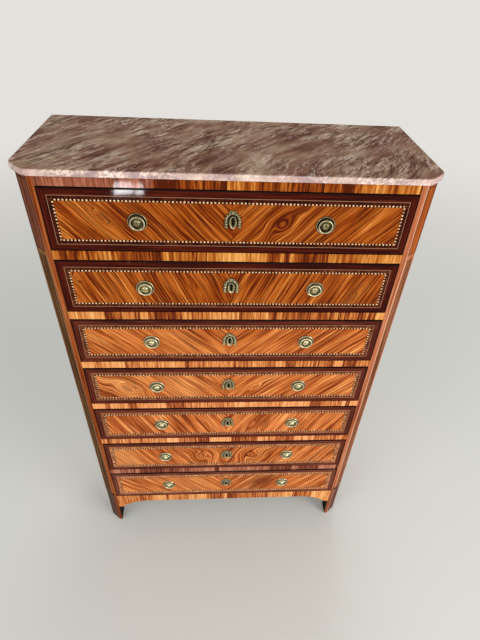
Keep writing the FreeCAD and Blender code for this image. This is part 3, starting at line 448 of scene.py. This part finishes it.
# The streaks are a third of a metre long and 11 mm wide.
lengthwise, front_to_back = (
    add(tree, "Mapping", {"Vector": place, "Scale": size}, vector_type="TEXTURE")
    for size in ((long, wide, wide), (wide, long, wide)))
drawn_out = add(tree, "Mix", {"Factor": in_side, "A": lengthwise, "B": front_to_back},
                data_type="VECTOR")
figure = add(tree, "TexNoise", {"Vector": drawn_out, "Scale": 1.0, "Detail": 5.0,
                                "Roughness": 0.6, "Distortion": 0.4})
colour = add(tree, "ValToRGB", {"Fac": figure},
             [(0.30, "#7a5a39"), (0.50, "#a98458"), (0.72, "#c9a878")])
pores = add(tree, "TexNoise", {"Vector": drawn_out, "Scale": 4.0, "Detail": 2.0})
relief = add(tree, "Bump", {"Height": pores, "Strength": 0.3, "Distance": pore_depth})
tree.links.new(colour.outputs[0], shader.inputs["Base Color"])
tree.links.new(relief.outputs[0], shader.inputs["Normal"])
DRAWERS = range(1, 8)
dress(made, *(f"drawer_{n}_box" for n in DRAWERS))


# Drawer fronts: oak veneered in front with tulipwood in two mirrored leaves that meet in a V.
# Round them run a string of light and dark squares, a banding, a boxwood line and a rounded
# amaranth border. The upper fronts are painted darker and the lower ones paler: painted shade
# near the marble and painted light lower down. Each front has its own leaves: how far its field
# and its border are painted from the shaded towards the lit colours, the grain's angle in
# degrees, its waviness, and the knots.
UPPER_FIELD = [(0.28, "#320b01"), (0.40, "#6a2502"), (0.51, "#95450b"), (0.62, "#b26221"),
               (0.74, "#d08b40")]
LOWER_FIELD = [(0.28, "#5c200c"), (0.40, "#984619"), (0.51, "#c66e36"), (0.62, "#de8c4e"),
               (0.74, "#f4b06c")]
UPPER_BORDER = [(0.30, "#1a0201"), (0.50, "#3a0b03"), (0.72, "#5c1d0c")]
LOWER_BORDER = [(0.30, "#3a170f"), (0.50, "#643224"), (0.72, "#8a5440")]
UPPER_BANDING = [(0.30, "#1e0603"), (0.50, "#390f05"), (0.72, "#55230e")]
LOWER_BANDING = [(0.30, "#6e371e"), (0.50, "#a8643e"), (0.72, "#cc905e")]
LEAVES = {
    1: (0.0, 0.0, 47, 0.016, [((0.118, 0.004), 0.036, 0.024, 1.2, 0.0),
                              ((0.190, 0.000), 0.160, 0.060, 0, -0.12),
                              ((-0.290, 0.012), 0.046, 0.014, 1.0, 0.1)]),
    2: (0.1, 0.0, 66, 0.010, [((0.318, -0.034), 0.060, 0.013, 1.3, 0.15),
                              ((-0.374, 0.030), 0.020, 0.010, 1.2, 0.0),
                              ((-0.075, -0.020), 0.040, 0.010, 1.0, 0.0)]),
    3: (0.75, 0.4, 43, 0.006, [((-0.120, 0.000), 0.100, 0.030, 0, 0.12)]),
    4: (0.85, 0.4, 42, 0.012, [((-0.297, -0.008), 0.052, 0.038, 1.5, 0.30),
                               ((0.085, -0.004), 0.044, 0.016, 1.2, 0.0),
                               ((-0.130, -0.020), 0.120, 0.050, 0, 0.22)]),
    5: (1.0, 0.6, 62, 0.006, [((0.087, 0.000), 0.050, 0.018, 1.9, -0.18)]),
    6: (0.9, 0.7, 57, 0.008, [((-0.086, 0.002), 0.046, 0.046, 1.1, -0.12),
                              ((0.094, 0.004), 0.044, 0.044, 1.1, 0.0),
                              ((-0.345, 0.000), 0.110, 0.034, 0, 0.36)]),
    7: (1.0, 1.0, 44, 0.018, [((0.137, 0.014), 0.070, 0.034, 0, -0.85),
                              ((-0.130, 0.000), 0.150, 0.060, 0, 0.12)]),
}


def shaded_to_lit(dark, pale, share):
    """Colours between a shaded and a lit copy of a wood's colours, for painted shade and light."""
    return [(spot, "#" + "".join(
        f"{round(int(one[i:i + 2], 16) * (1 - share) + int(other[i:i + 2], 16) * share):02x}"
        for i in (1, 3, 5))) for (spot, one), (_, other) in zip(dark, pale)]


gap, bead_depth = 0.001, 0.004
key_half_width, key_middle, key_half_height = 0.0046, 0.0058, 0.0108
for n, (field, border, degrees, wavy, knots) in LEAVES.items():
    made, tree, shader, place = new_material(f"marquetry_{n}", **POLISH)
    x, y, z = add(tree, "SeparateXYZ", {"Vector": place}).outputs
    low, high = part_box(f"drawer_{n}_front")
    middle = (low.z + high.z) / 2
    v = add(tree, "Math", {0: z, 1: middle}, operation="SUBTRACT")
    # The opening's edge is a gap's width outside the front.
    half_height = (high.z - low.z) / 2 + gap
    # Field, border and banding lie between shaded and lit colours by the drawer's height: painted
    # shade and light.
    colour = marquetry(tree, x, v, (high.x + gap, -half_height, half_height),
                       math.radians(degrees), shaded_to_lit(UPPER_FIELD, LOWER_FIELD, field),
                       n * 13.7, knots, wavy, shaded_to_lit(UPPER_BORDER, LOWER_BORDER, border),
                       shaded_to_lit(UPPER_BANDING, LOWER_BANDING, (n - 1) / 5))
    # The keyhole, which lies a little above the middle, is painted black as painted shade in the
    # hole.
    beside = add(tree, "Math", {0: x, 1: 0.0, 2: key_half_width}, operation="COMPARE")
    level = add(tree, "Math", {0: v, 1: key_middle, 2: key_half_height}, operation="COMPARE")
    keyhole = add(tree, "Math", {0: beside, 1: level}, operation="MULTIPLY")
    colour = add(tree, "Mix", {"Factor": keyhole, "A": colour, "B": INK}, data_type="RGBA")
    ahead = add(tree, "Math", {0: y, 1: low.y + bead_depth}, operation="LESS_THAN")
    over_oak(tree, shader, place, colour, ahead)
    dress(made, f"drawer_{n}_front")


# Locks: an iron case let in flush behind each drawer front, filed and darkened with age in
# clouds of 14 mm, with a bright steel bolt that slides up out of it. The bolt's scratches are
# drawn 1.1 mm wide, coarser than real ones, so that they show.
made, tree, shader, place = new_material("filed_iron", Metallic=1.0, Roughness=0.46)
cloud = add(tree, "TexNoise", {"Vector": place, "Scale": 70.0, "Detail": 4.0})
colour = add(tree, "ValToRGB", {"Fac": cloud},
             [(0.35, "#3c3733"), (0.55, "#5d5852"), (0.75, "#7b756c")])
tree.links.new(colour.outputs[0], shader.inputs["Base Color"])
dress(made, *(f"drawer_{n}_lock" for n in DRAWERS))

made, tree, shader, place = new_material("worn_steel", Metallic=1.0, Roughness=0.32)
wide, long = 1 / 900, 1 / 60
rub_and_glint = add(tree, "Mapping", {"Vector": place, "Scale": (wide, wide, long)},
             vector_type="TEXTURE")
scratches = add(tree, "TexNoise", {"Vector": rub_and_glint, "Scale": 1.0, "Detail": 2.0})
colour = add(tree, "ValToRGB", {"Fac": scratches}, [(0.3, "#77736c"), (0.7, "#a9a59c")])
tree.links.new(colour.outputs[0], shader.inputs["Base Color"])
dress(made, *(f"drawer_{n}_bolt" for n in DRAWERS))


# Ring pulls: a turned and cast brass backplate on a threaded stem, an eye above its boss, the
# ring that hangs in the eye, and a square nut inside the drawer. Once gilt, the brass has
# worn to a greenish gold, bright where hands rub it and nearly black in the recesses.
def brass(name, black, bright, lower_lit):
    """Old brass whose tone follows how far it stands out of the drawer's face, between a black
    and a bright height, and which is painted brighter on the lower drawers by a share: painted
    light."""
    made, tree, shader, place = new_material(name, Metallic=1.0)
    _, y, z = add(tree, "SeparateXYZ", {"Vector": place}).outputs
    relief = add(tree, "MapRange", {"Value": y, "From Min": face - black,
                                    "From Max": face - bright})
    # The boss stands highest and no hand rubs it, so it has dulled again.
    boss_foot, boss_top = face - 0.0068, face - 0.0080
    darkening = add(tree, "MapRange", {"Value": y, "From Min": boss_foot,
                                    "From Max": boss_top, "To Max": 0.25})
    relief = add(tree, "Math", {0: relief, 1: darkening}, operation="SUBTRACT")
    # The brasses are painted darker towards the top drawer and brighter from the third one down:
    # painted shade under the marble and painted light lower down.
    lit_to, shaded_from = 1.05, 1.35
    darkening = add(tree, "MapRange", {"Value": z, "From Min": lit_to,
                                    "From Max": shaded_from, "To Min": -lower_lit, "To Max": 0.1})
    relief = add(tree, "Math", {0: relief, 1: darkening}, operation="SUBTRACT")
    # The nuts behind the front were never in the dirt.
    front_thickness = 0.018
    inside = add(tree, "Math", {0: y, 1: face + front_thickness}, operation="GREATER_THAN")
    relief = add(tree, "Math", {0: inside, 1: 0.55, 2: relief}, operation="MULTIPLY_ADD")
    # Tarnish lies in spots of 2.4 mm, and the metal between them is smoother.
    cloud = add(tree, "TexNoise", {"Vector": place, "Scale": 420.0, "Detail": 3.0,
                                   "Roughness": 0.7})
    tone = add(tree, "Math", {0: cloud, 1: 1.3, 2: relief}, operation="MULTIPLY_ADD")
    tone = add(tree, "Math", {0: tone, 1: 0.65, 2: -0.325}, operation="MULTIPLY_ADD")
    colour = add(tree, "ValToRGB", {"Fac": tone},
                 [(0.08, "#0b0906"), (0.26, "#332c1c"), (0.56, "#8b8260"), (0.85, "#d2caa6")])
    matt = add(tree, "MapRange", {"Value": cloud, "To Min": 0.20, "To Max": 0.46})
    tree.links.new(colour.outputs[0], shader.inputs["Base Color"])
    tree.links.new(matt.outputs[0], shader.inputs["Roughness"])
    return made


def spun(mesh, profile, axis=(0, 1, 0), steps=56):
    """Turns a line of points right round an axis through the origin."""
    line = [mesh.verts.new(point) for point in profile]
    edges = [mesh.edges.new(pair) for pair in zip(line, line[1:])]
    bmesh.ops.spin(mesh, geom=line + edges, cent=(0, 0, 0), axis=axis, dvec=(0, 0, 0),
                   angle=2 * math.pi, steps=steps, use_merge=True, use_duplicate=False)


def finished(mesh, name, sharp=35):
    """The mesh of a bmesh piece, in millimetres: closed, facing outwards and smooth, but for
    its arrises."""
    bmesh.ops.remove_doubles(mesh, verts=mesh.verts, dist=1e-3)
    bmesh.ops.recalc_face_normals(mesh, faces=mesh.faces)
    made = bpy.data.meshes.new(name)
    mesh.to_mesh(made)
    mesh.free()
    made.shade_smooth()
    made.set_sharp_from_angle(angle=math.radians(sharp))
    return made


def place_piece(shape, name, material, body, x, y, z):
    """A copy of a shape drawn in millimetres, as a piece of its own at its place in metres."""
    data = shape.copy()
    data.transform(Matrix.Translation((x, y, z)) @ Matrix.Scale(0.001, 4))
    data.materials.append(material)
    piece = bpy.data.objects.new(name, data)
    bpy.context.scene.collection.objects.link(piece)
    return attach(piece, body)


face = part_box("drawer_1_front")[0].y
turned_brass = brass("turned_brass", 0.0002, 0.0030, lower_lit=0.32)
pull = bmesh.new()
# The backplate, by radius and height: bead, field, two turned collars and a hollow boss.
spun(pull, [(r, -h, 0) for r, h in (
    (0, 0), (22, 0), (22, 1.4), (21.6, 2.6), (21.0, 3.1), (20.3, 2.8), (19.9, 1.8), (19.4, 1.0),
    (17.4, 0.8), (16.2, 0.8), (15.6, 1.1), (14.6, 1.2), (13.8, 1.0), (12.6, 0.9), (11.4, 1.2),
    (10.9, 2.4), (10.3, 3.0), (9.7, 2.4), (9.2, 1.6), (8.5, 1.7), (8.0, 2.8), (7.5, 4.6),
    (6.9, 6.2), (5.8, 7.6), (4.6, 8.4), (3.7, 8.0), (3.0, 6.4), (2.2, 2.6), (1.4, 1.8), (0, 1.7))])
stem, stem_length, nut_side, nut_thick, nut_middle = 2.5, 26, 12, 4, 22
bmesh.ops.create_cone(pull, segments=24, radius1=stem, radius2=stem, depth=stem_length,
                      cap_ends=True, matrix=Matrix.Translation((0, stem_length / 2, 0))
                      @ Matrix.Rotation(math.pi / 2, 4, "X"))
nut = bmesh.ops.create_cube(pull, size=1.0, matrix=Matrix.Translation((0, nut_middle, 0))
                            @ Matrix.Diagonal((nut_side, nut_thick, nut_side, 1)))["verts"]
bmesh.ops.bevel(pull, geom=list({e for v in nut for e in v.link_edges}), offset=0.6,
                offset_type="OFFSET", segments=2, profile=0.5, affect="EDGES", material=-1)
eye = bmesh.new()
spun(eye, [(x, 0, r) for x, r in (
    (1.8, 2.15), (1.8, 3.2), (1.4, 3.7), (-1.4, 3.7), (-1.8, 3.2), (-1.8, 2.15), (1.8, 2.15))],
    axis=(1, 0, 0), steps=32)
eye_out, eye_raise = 5, 13
bmesh.ops.translate(eye, vec=(0, -eye_out, eye_raise), verts=eye.verts)
pull.from_mesh(finished(eye, "eye"))
pull_shape = finished(pull, "pull")
pull_offset = 0.212
for n in DRAWERS:
    low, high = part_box(f"drawer_{n}_front")
    for side, x in (("left", -pull_offset), ("right", pull_offset)):
        piece = place_piece(pull_shape, f"drawer_{n}_pull_{side}", turned_brass,
                            f"drawer_{n}", x, face, (low.z + high.z) / 2)
        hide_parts(f"drawer_{n}_brasses")
        dress(turned_brass, f"drawer_{n}_ring_{side}")


# Escutcheons: cast and chased brass, a laurel wreath open below and tied with a bow above,
# round an oval shield with the keyhole in it. Two round-headed pins hold each to its drawer.
def skinned(mesh, outlines, closed=False):
    """Joins outlines of points one after another, and the last to the first or else caps
    both ends."""
    loops = []
    for outline in outlines:
        verts = [mesh.verts.new(point) for point in outline]
        loops.append([mesh.edges.new(pair) for pair in zip(verts, verts[1:] + verts[:1])])
    for one, other in zip(loops, loops[1:] + loops[:closed]):
        bmesh.ops.bridge_loops(mesh, edges=one + other)
    if not closed:
        for end in (loops[0], loops[-1]):
            bmesh.ops.contextual_create(mesh, geom=end)


def way_matrix(x, z, heading):
    """Axes at a place on a way in the drawer's face: across it, out of the face, along it."""
    sine, cosine = math.sin(heading), math.cos(heading)
    return Matrix(((-sine, 0, cosine, x), (0, -1, 0, 0), (cosine, 0, sine, z), (0, 0, 0, 1)))


def oval(half_width, half_height, height, middle=0.0, count=40):
    """An upright oval of points at a height above the drawer's face."""
    turns = [2 * math.pi * i / count for i in range(count)]
    return [(half_width * math.cos(t), -height, middle + half_height * math.sin(t))
            for t in turns]


DROP, WIDE, TALL = 19.5, 15.25, 17.75
bend_length = math.pi / 2 * math.sqrt((WIDE ** 2 + TALL ** 2) / 2)


def on_wreath(run, branch):
    """The axes at a run along a branch of the wreath, up from its lower end."""
    if run < DROP:
        return way_matrix(branch * WIDE, run - DROP, math.pi / 2)
    turn = (run - DROP) / bend_length * math.pi / 2
    heading = math.atan2(TALL * math.cos(turn), -branch * WIDE * math.sin(turn))
    return way_matrix(branch * WIDE * math.cos(turn), TALL * math.sin(turn), heading)


escutcheon = bmesh.new()
core = [(1.9 * math.cos(a), 0.6 + 1.5 * math.sin(a), 0) for a in
        (math.radians(d) for d in range(0, 181, 30))] + [(-1.9, 0, 0), (1.9, 0, 0)]
leaf = bmesh.new()
spun(leaf, [(0, 0, -4.4), (1.1, 0, -3.0), (1.9, 0, -0.8), (1.8, 0, 0.8), (1.0, 0, 2.6),
            (0, 0, 3.8)], axis=(0, 0, 1), steps=8)
leaf_shape = finished(leaf, "leaf")
# Leaves lie like scales in three rows along each branch, the middle row on top.
leaf_step, first_leaf, stagger, row_offset = 6.6, 0.62, 0.16, 1.85
whole, steps = DROP + bend_length, 24
for branch in (-1, 1):
    skinned(escutcheon, [[on_wreath(i / steps * whole, branch) @ Vector(point) for point in core]
                         for i in range(steps + 1)])
    for number in range(round(whole / leaf_step)):
        for row, rise in ((-1, 1.9), (1, 2.2), (0, 2.9)):
            at = on_wreath((number + first_leaf + stagger * row) * leaf_step, branch)
            tilt = Matrix.Rotation(-0.5 * row, 4, "Y") @ Matrix.Rotation(0.2, 4, "X")
            known = len(escutcheon.verts)
            escutcheon.from_mesh(leaf_shape)
            escutcheon.verts.ensure_lookup_table()
            bmesh.ops.transform(escutcheon, verts=escutcheon.verts[known:],
                                matrix=at @ Matrix.Translation((row_offset * row, rise, 0))
                                @ tilt @ Matrix.Diagonal((1.0 - 0.25 * (row == 0), 0.7, 0.9, 1)))
# The ground: a thin oval plate between wreath and shield.
skinned(escutcheon, [oval(14, 19, 0), oval(14, 19, 1.1), oval(13.6, 18.6, 1.5),
                     oval(7, 13, 1.5, -1.5), oval(7, 13, 0, -1.5)], closed=True)
# The shield: a rounded rim round a dished field, and the keyhole through it.
key_radius, key_raise, slot = 4.1, 4, 2.2
keyhole = [(key_radius * math.cos(a), key_raise + key_radius * math.sin(a)) for a in
           (math.radians(-57.5 + 295 * i / 20) for i in range(21))]
keyhole += [(side * slot, z) for side, ends in ((-1, (-4, -8.5, -12.5)), (1, (-12.5, -8.5, -4)))
            for z in ends]
shield_middle, field_height = -4.4, 1.8
rim = ((9, 16, 0), (9, 16, 2.2), (8.7, 15.7, 3.6), (8.1, 15.1, 4.3), (7.0, 14.2, 4.4),
       (6.2, 13.4, 4.1), (5.5, 12.7, 3.5), (5.0, 12.4, 2.9))
skinned(escutcheon, [oval(*size, shield_middle) for size in rim]
        + [[(x, -height, z) for x, z in keyhole] for height in (field_height, 0)], closed=True)
# The bow: two loops of ribbon, a knot and two short tails.
ribbon = [(-0.6, 1.4, 0), (0.6, 1.4, 0), (0.75, 2.8, 0), (0.6, 4.3, 0), (-0.6, 4.3, 0),
          (-0.75, 2.8, 0)]
bow_raise, loop_out, loop_wide, loop_tall = 21.6, 4.4, 3.2, 2.1
turns = [2 * math.pi * i / 20 for i in range(20)]
for branch in (-1, 1):
    skinned(escutcheon, [[way_matrix(branch * (loop_out + loop_wide * math.cos(t)),
                                     bow_raise + loop_tall * math.sin(t),
                                     math.atan2(loop_tall * math.cos(t),
                                                -branch * loop_wide * math.sin(t)))
                          @ Vector(point) for point in ribbon] for t in turns], closed=True)
    skinned(escutcheon, [[way_matrix(branch * (0.8 + 1.1 * i), 20.4 - 0.75 * i + 0.1 * i * i,
                                     -0.6 if branch > 0 else math.pi + 0.6)
                          @ Vector(point) for point in ribbon] for i in range(5)])
bmesh.ops.create_uvsphere(escutcheon, u_segments=14, v_segments=9, radius=1.0,
                          matrix=Matrix.Translation((0, -3.4, bow_raise))
                          @ Matrix.Diagonal((1.8, 1.3, 2.1, 1)))
escutcheon_shape = finished(escutcheon, "escutcheon")

chased_brass = brass("chased_brass", 0.0007, 0.0046, lower_lit=0.12)
pin = bmesh.new()
spun(pin, [(0, 5.4, 0), (0.35, 4.6, 0), (0.7, 3.6, 0), (0.7, -4.6, 0), (1.3, -4.6, 0),
           (1.2, -5.0, 0), (0.7, -5.35, 0), (0, -5.4, 0)], steps=16)
pin_shape = finished(pin, "pin")
wreath_raise, pin_offset = 0.008, 0.01525
for n in DRAWERS:
    low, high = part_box(f"drawer_{n}_front")
    middle = (low.z + high.z) / 2 + wreath_raise
    piece = place_piece(escutcheon_shape, f"drawer_{n}_escutcheon", chased_brass,
                        f"drawer_{n}", 0, face, middle)
    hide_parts(f"drawer_{n}_brasses")
    for side, x in (("left", -pin_offset), ("right", pin_offset)):
        place_piece(pin_shape, f"drawer_{n}_escutcheon_pin_{side}", turned_brass,
                    f"drawer_{n}", x, face, middle)


# Marble: one slab with a rounded edge and canted front corners, polished. It is a breccia of
# brown and beige clouds, crossed aslant by dark red and white veins. Its edge is paler
# and rosier than the top.
made, tree, shader, place = new_material("veined_marble", Roughness=0.4, Specular_IOR_Level=0.0,
                                         Coat_Weight=0.16, Coat_Roughness=0.12)
height = add(tree, "SeparateXYZ", {"Vector": place}).outputs["Z"]
# Its beds are bent by 120 mm in folds of 0.4 m, and by 15 mm in folds of 0.1 m.
bent = place
for folds_in_a_metre, reach in ((2.6, 0.12), (9.0, 0.015)):
    drift = add(tree, "TexNoise", {"Vector": place, "Scale": folds_in_a_metre, "Detail": 0.0})
    bent = add(tree, "VectorMath", {0: drift.outputs["Color"], 1: (reach, reach, reach), 2: bent},
               operation="MULTIPLY_ADD")
clouds, layers, threads = (
    add(tree, "TexNoise", {"Vector": add(tree, "Mapping", {
        "Vector": bent, "Rotation": (0.6, 0, math.radians(degrees)), "Scale": size},
        vector_type="TEXTURE"), "Scale": 1.0, "Detail": detail, "Roughness": 0.62})
    for degrees, size, detail in ((46, (0.14, 0.05, 0.06), 5.0), (44, (0.26, 0.030, 0.04), 3.0),
                                  (60, (0.20, 0.034, 0.04), 4.0)))
colour = add(tree, "ValToRGB", {"Fac": clouds},
             [(0.34, "#623b2b"), (0.45, "#835b47"), (0.54, "#93765f"), (0.68, "#ac937b")])
# The veins crowd together in some places and hardly show in others.
crowded = add(tree, "TexNoise", {"Vector": bent, "Scale": 9.0, "Detail": 1.0})
crowded = add(tree, "MapRange", {"Value": crowded, "From Min": 0.36, "From Max": 0.58,
                                 "To Min": 0.3})
# Dark red and calcite veins lie where a noise crosses a level.
for noise, level, width, share, wood in (
        (layers, 0.41, 0.040, 0.95, "#431b11"), (layers, 0.53, 0.014, 0.75, "#cfbbaa"),
        (layers, 0.62, 0.036, 0.95, "#4c2216"), (threads, 0.46, 0.032, 0.95, "#471e14"),
        (threads, 0.57, 0.016, 0.75, "#d6c4b5"), (threads, 0.36, 0.020, 0.75, "#d0bcab")):
    vein = add(tree, "Math", {0: noise, 1: level}, operation="SUBTRACT")
    vein = add(tree, "Math", {0: vein}, operation="ABSOLUTE")
    vein = add(tree, "MapRange", {"Value": vein, "From Max": width, "To Min": share,
                                  "To Max": 0.0})
    vein = add(tree, "Math", {0: vein, 1: crowded}, operation="MULTIPLY")
    colour = add(tree, "Mix", {"Factor": vein, "A": colour, "B": wood}, data_type="RGBA")
rosy = add(tree, "VectorMath", {0: colour, 1: (1.3, 1.35, 1.35), 2: (0.25, 0.225, 0.235)},
           operation="MULTIPLY_ADD")
slab_top, arris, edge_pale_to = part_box("marble_top")[1].z, 0.0002, 0.003
edge = add(tree, "MapRange", {"Value": height, "From Min": slab_top - arris,
                              "From Max": slab_top - edge_pale_to}, interpolation_type="SMOOTHSTEP")
colour = add(tree, "Mix", {"Factor": edge, "A": colour, "B": rosy}, data_type="RGBA")
tree.links.new(colour.outputs[2], shader.inputs["Base Color"])
dress(made, "marble_top")


# Studio: a pale floor that runs out into a background of one tone, and soft lamps, the largest
# one to the right of the chest.
made, tree, shader, place = new_material("pale_floor", Roughness=0.75)
FLOOR, BACKDROP, plain_from, plain_to = "#d4d5cf", "#e4e1dc", 1.0, 5.0
shader.inputs["Base Color"].default_value = linear(FLOOR)
ray = add(tree, "LightPath")
seen = add(tree, "Math", {0: ray.outputs["Is Camera Ray"], 1: ray.outputs["Is Glossy Ray"]},
           operation="MAXIMUM")
away = add(tree, "VectorMath", {0: place}, operation="LENGTH").outputs["Value"]
far = add(tree, "MapRange", {"Value": away, "From Min": plain_from, "From Max": plain_to},
          interpolation_type="SMOOTHSTEP")
far = add(tree, "Math", {0: far, 1: seen}, operation="MULTIPLY")
plain = add(tree, "Emission", {"Color": BACKDROP, "Strength": 1.0})
mixed = add(tree, "MixShader", {"Fac": far, 1: shader, 2: plain})
tree.links.new(mixed.outputs[0], tree.nodes["Material Output"].inputs["Surface"])
ground = bmesh.new()
bmesh.ops.create_grid(ground, x_segments=1, y_segments=1, size=60.0)
data = bpy.data.meshes.new("floor")
ground.to_mesh(data)
ground.free()
data.materials.append(made)
floor = bpy.data.objects.new("floor", data)
bpy.context.scene.collection.objects.link(floor)

# Each lamp has a place, an aim, a size, a power and an angle over which it fans out. The panes
# are only seen mirrored in the polish of the top drawer, so theirs is a few degrees.
for name, place, aim, (width, height), power, fan in (
        ("window", (4.03, -3.19, 1.66), (0, 0, 0.6), (2.97, 2.97), 196, 180),
        ("fill", (-2.6, -2.4, 2.6), (0, 0, 0.7), (2.2, 2.2), 38, 180),
        ("front", (0.2, -3.4, 2.6), (0, 0, 0.5), (2.0, 2.0), 32, 180),
        ("back", (0.6, 2.6, 4.2), (0, 0, 0.9), (1.8, 1.8), 44, 180),
        ("wide_pane", (-0.75, -2.6, 0.345), (-0.19, -0.175, 1.41), (0.14, 0.09), 0.1, 24),
        ("narrow_pane", (-0.63, -2.6, 0.34), (-0.19, -0.175, 1.41), (0.06, 0.08), 0.03, 24)):
    lamp = bpy.data.lights.new(name, "AREA")
    lamp.shape, lamp.size, lamp.size_y, lamp.energy = "RECTANGLE", width, height, power
    lamp.spread = math.radians(fan)
    stand = bpy.data.objects.new(name, lamp)
    stand.location = place
    stand.rotation_euler = (Vector(aim) - Vector(place)).to_track_quat("-Z", "Y").to_euler()
    stand.visible_camera = False
    stand.visible_diffuse = fan == 180
    bpy.context.scene.collection.objects.link(stand)

world = bpy.data.worlds.new("studio")
bpy.context.scene.world = world
world.use_nodes = True
tree = world.node_tree
light = tree.nodes["Background"]
light.inputs["Color"].default_value = linear("#ffffff")
light.inputs["Strength"].default_value = 0.45
backdrop = add(tree, "Background", {"Color": BACKDROP, "Strength": 1.0})
ray = add(tree, "LightPath")
seen = add(tree, "Math", {0: ray.outputs["Is Camera Ray"], 1: ray.outputs["Is Glossy Ray"]},
           operation="MAXIMUM")
mixed = add(tree, "MixShader", {"Fac": seen, 1: light, 2: backdrop})
tree.links.new(mixed.outputs[0], tree.nodes["World Output"].inputs["Surface"])

# The camera looks down at the chest from 1.8 m up, a little left of its middle.
view = bpy.data.cameras.new("camera")
view.sensor_width = 36.0
view.lens = 25.49
view.shift_x, view.shift_y = -0.016, -0.001
camera = bpy.data.objects.new("camera", view)
stand, turn = (-0.036105, -1.098865, 1.818696), Vector((0.8789, -0.0702, -0.0305))
camera.matrix_world = (Matrix.Translation(stand)
                       @ Matrix.Rotation(turn.length, 4, turn.normalized()))
bpy.context.scene.collection.objects.link(camera)
bpy.context.scene.camera = camera
bpy.context.scene.view_settings.view_transform = "Standard"
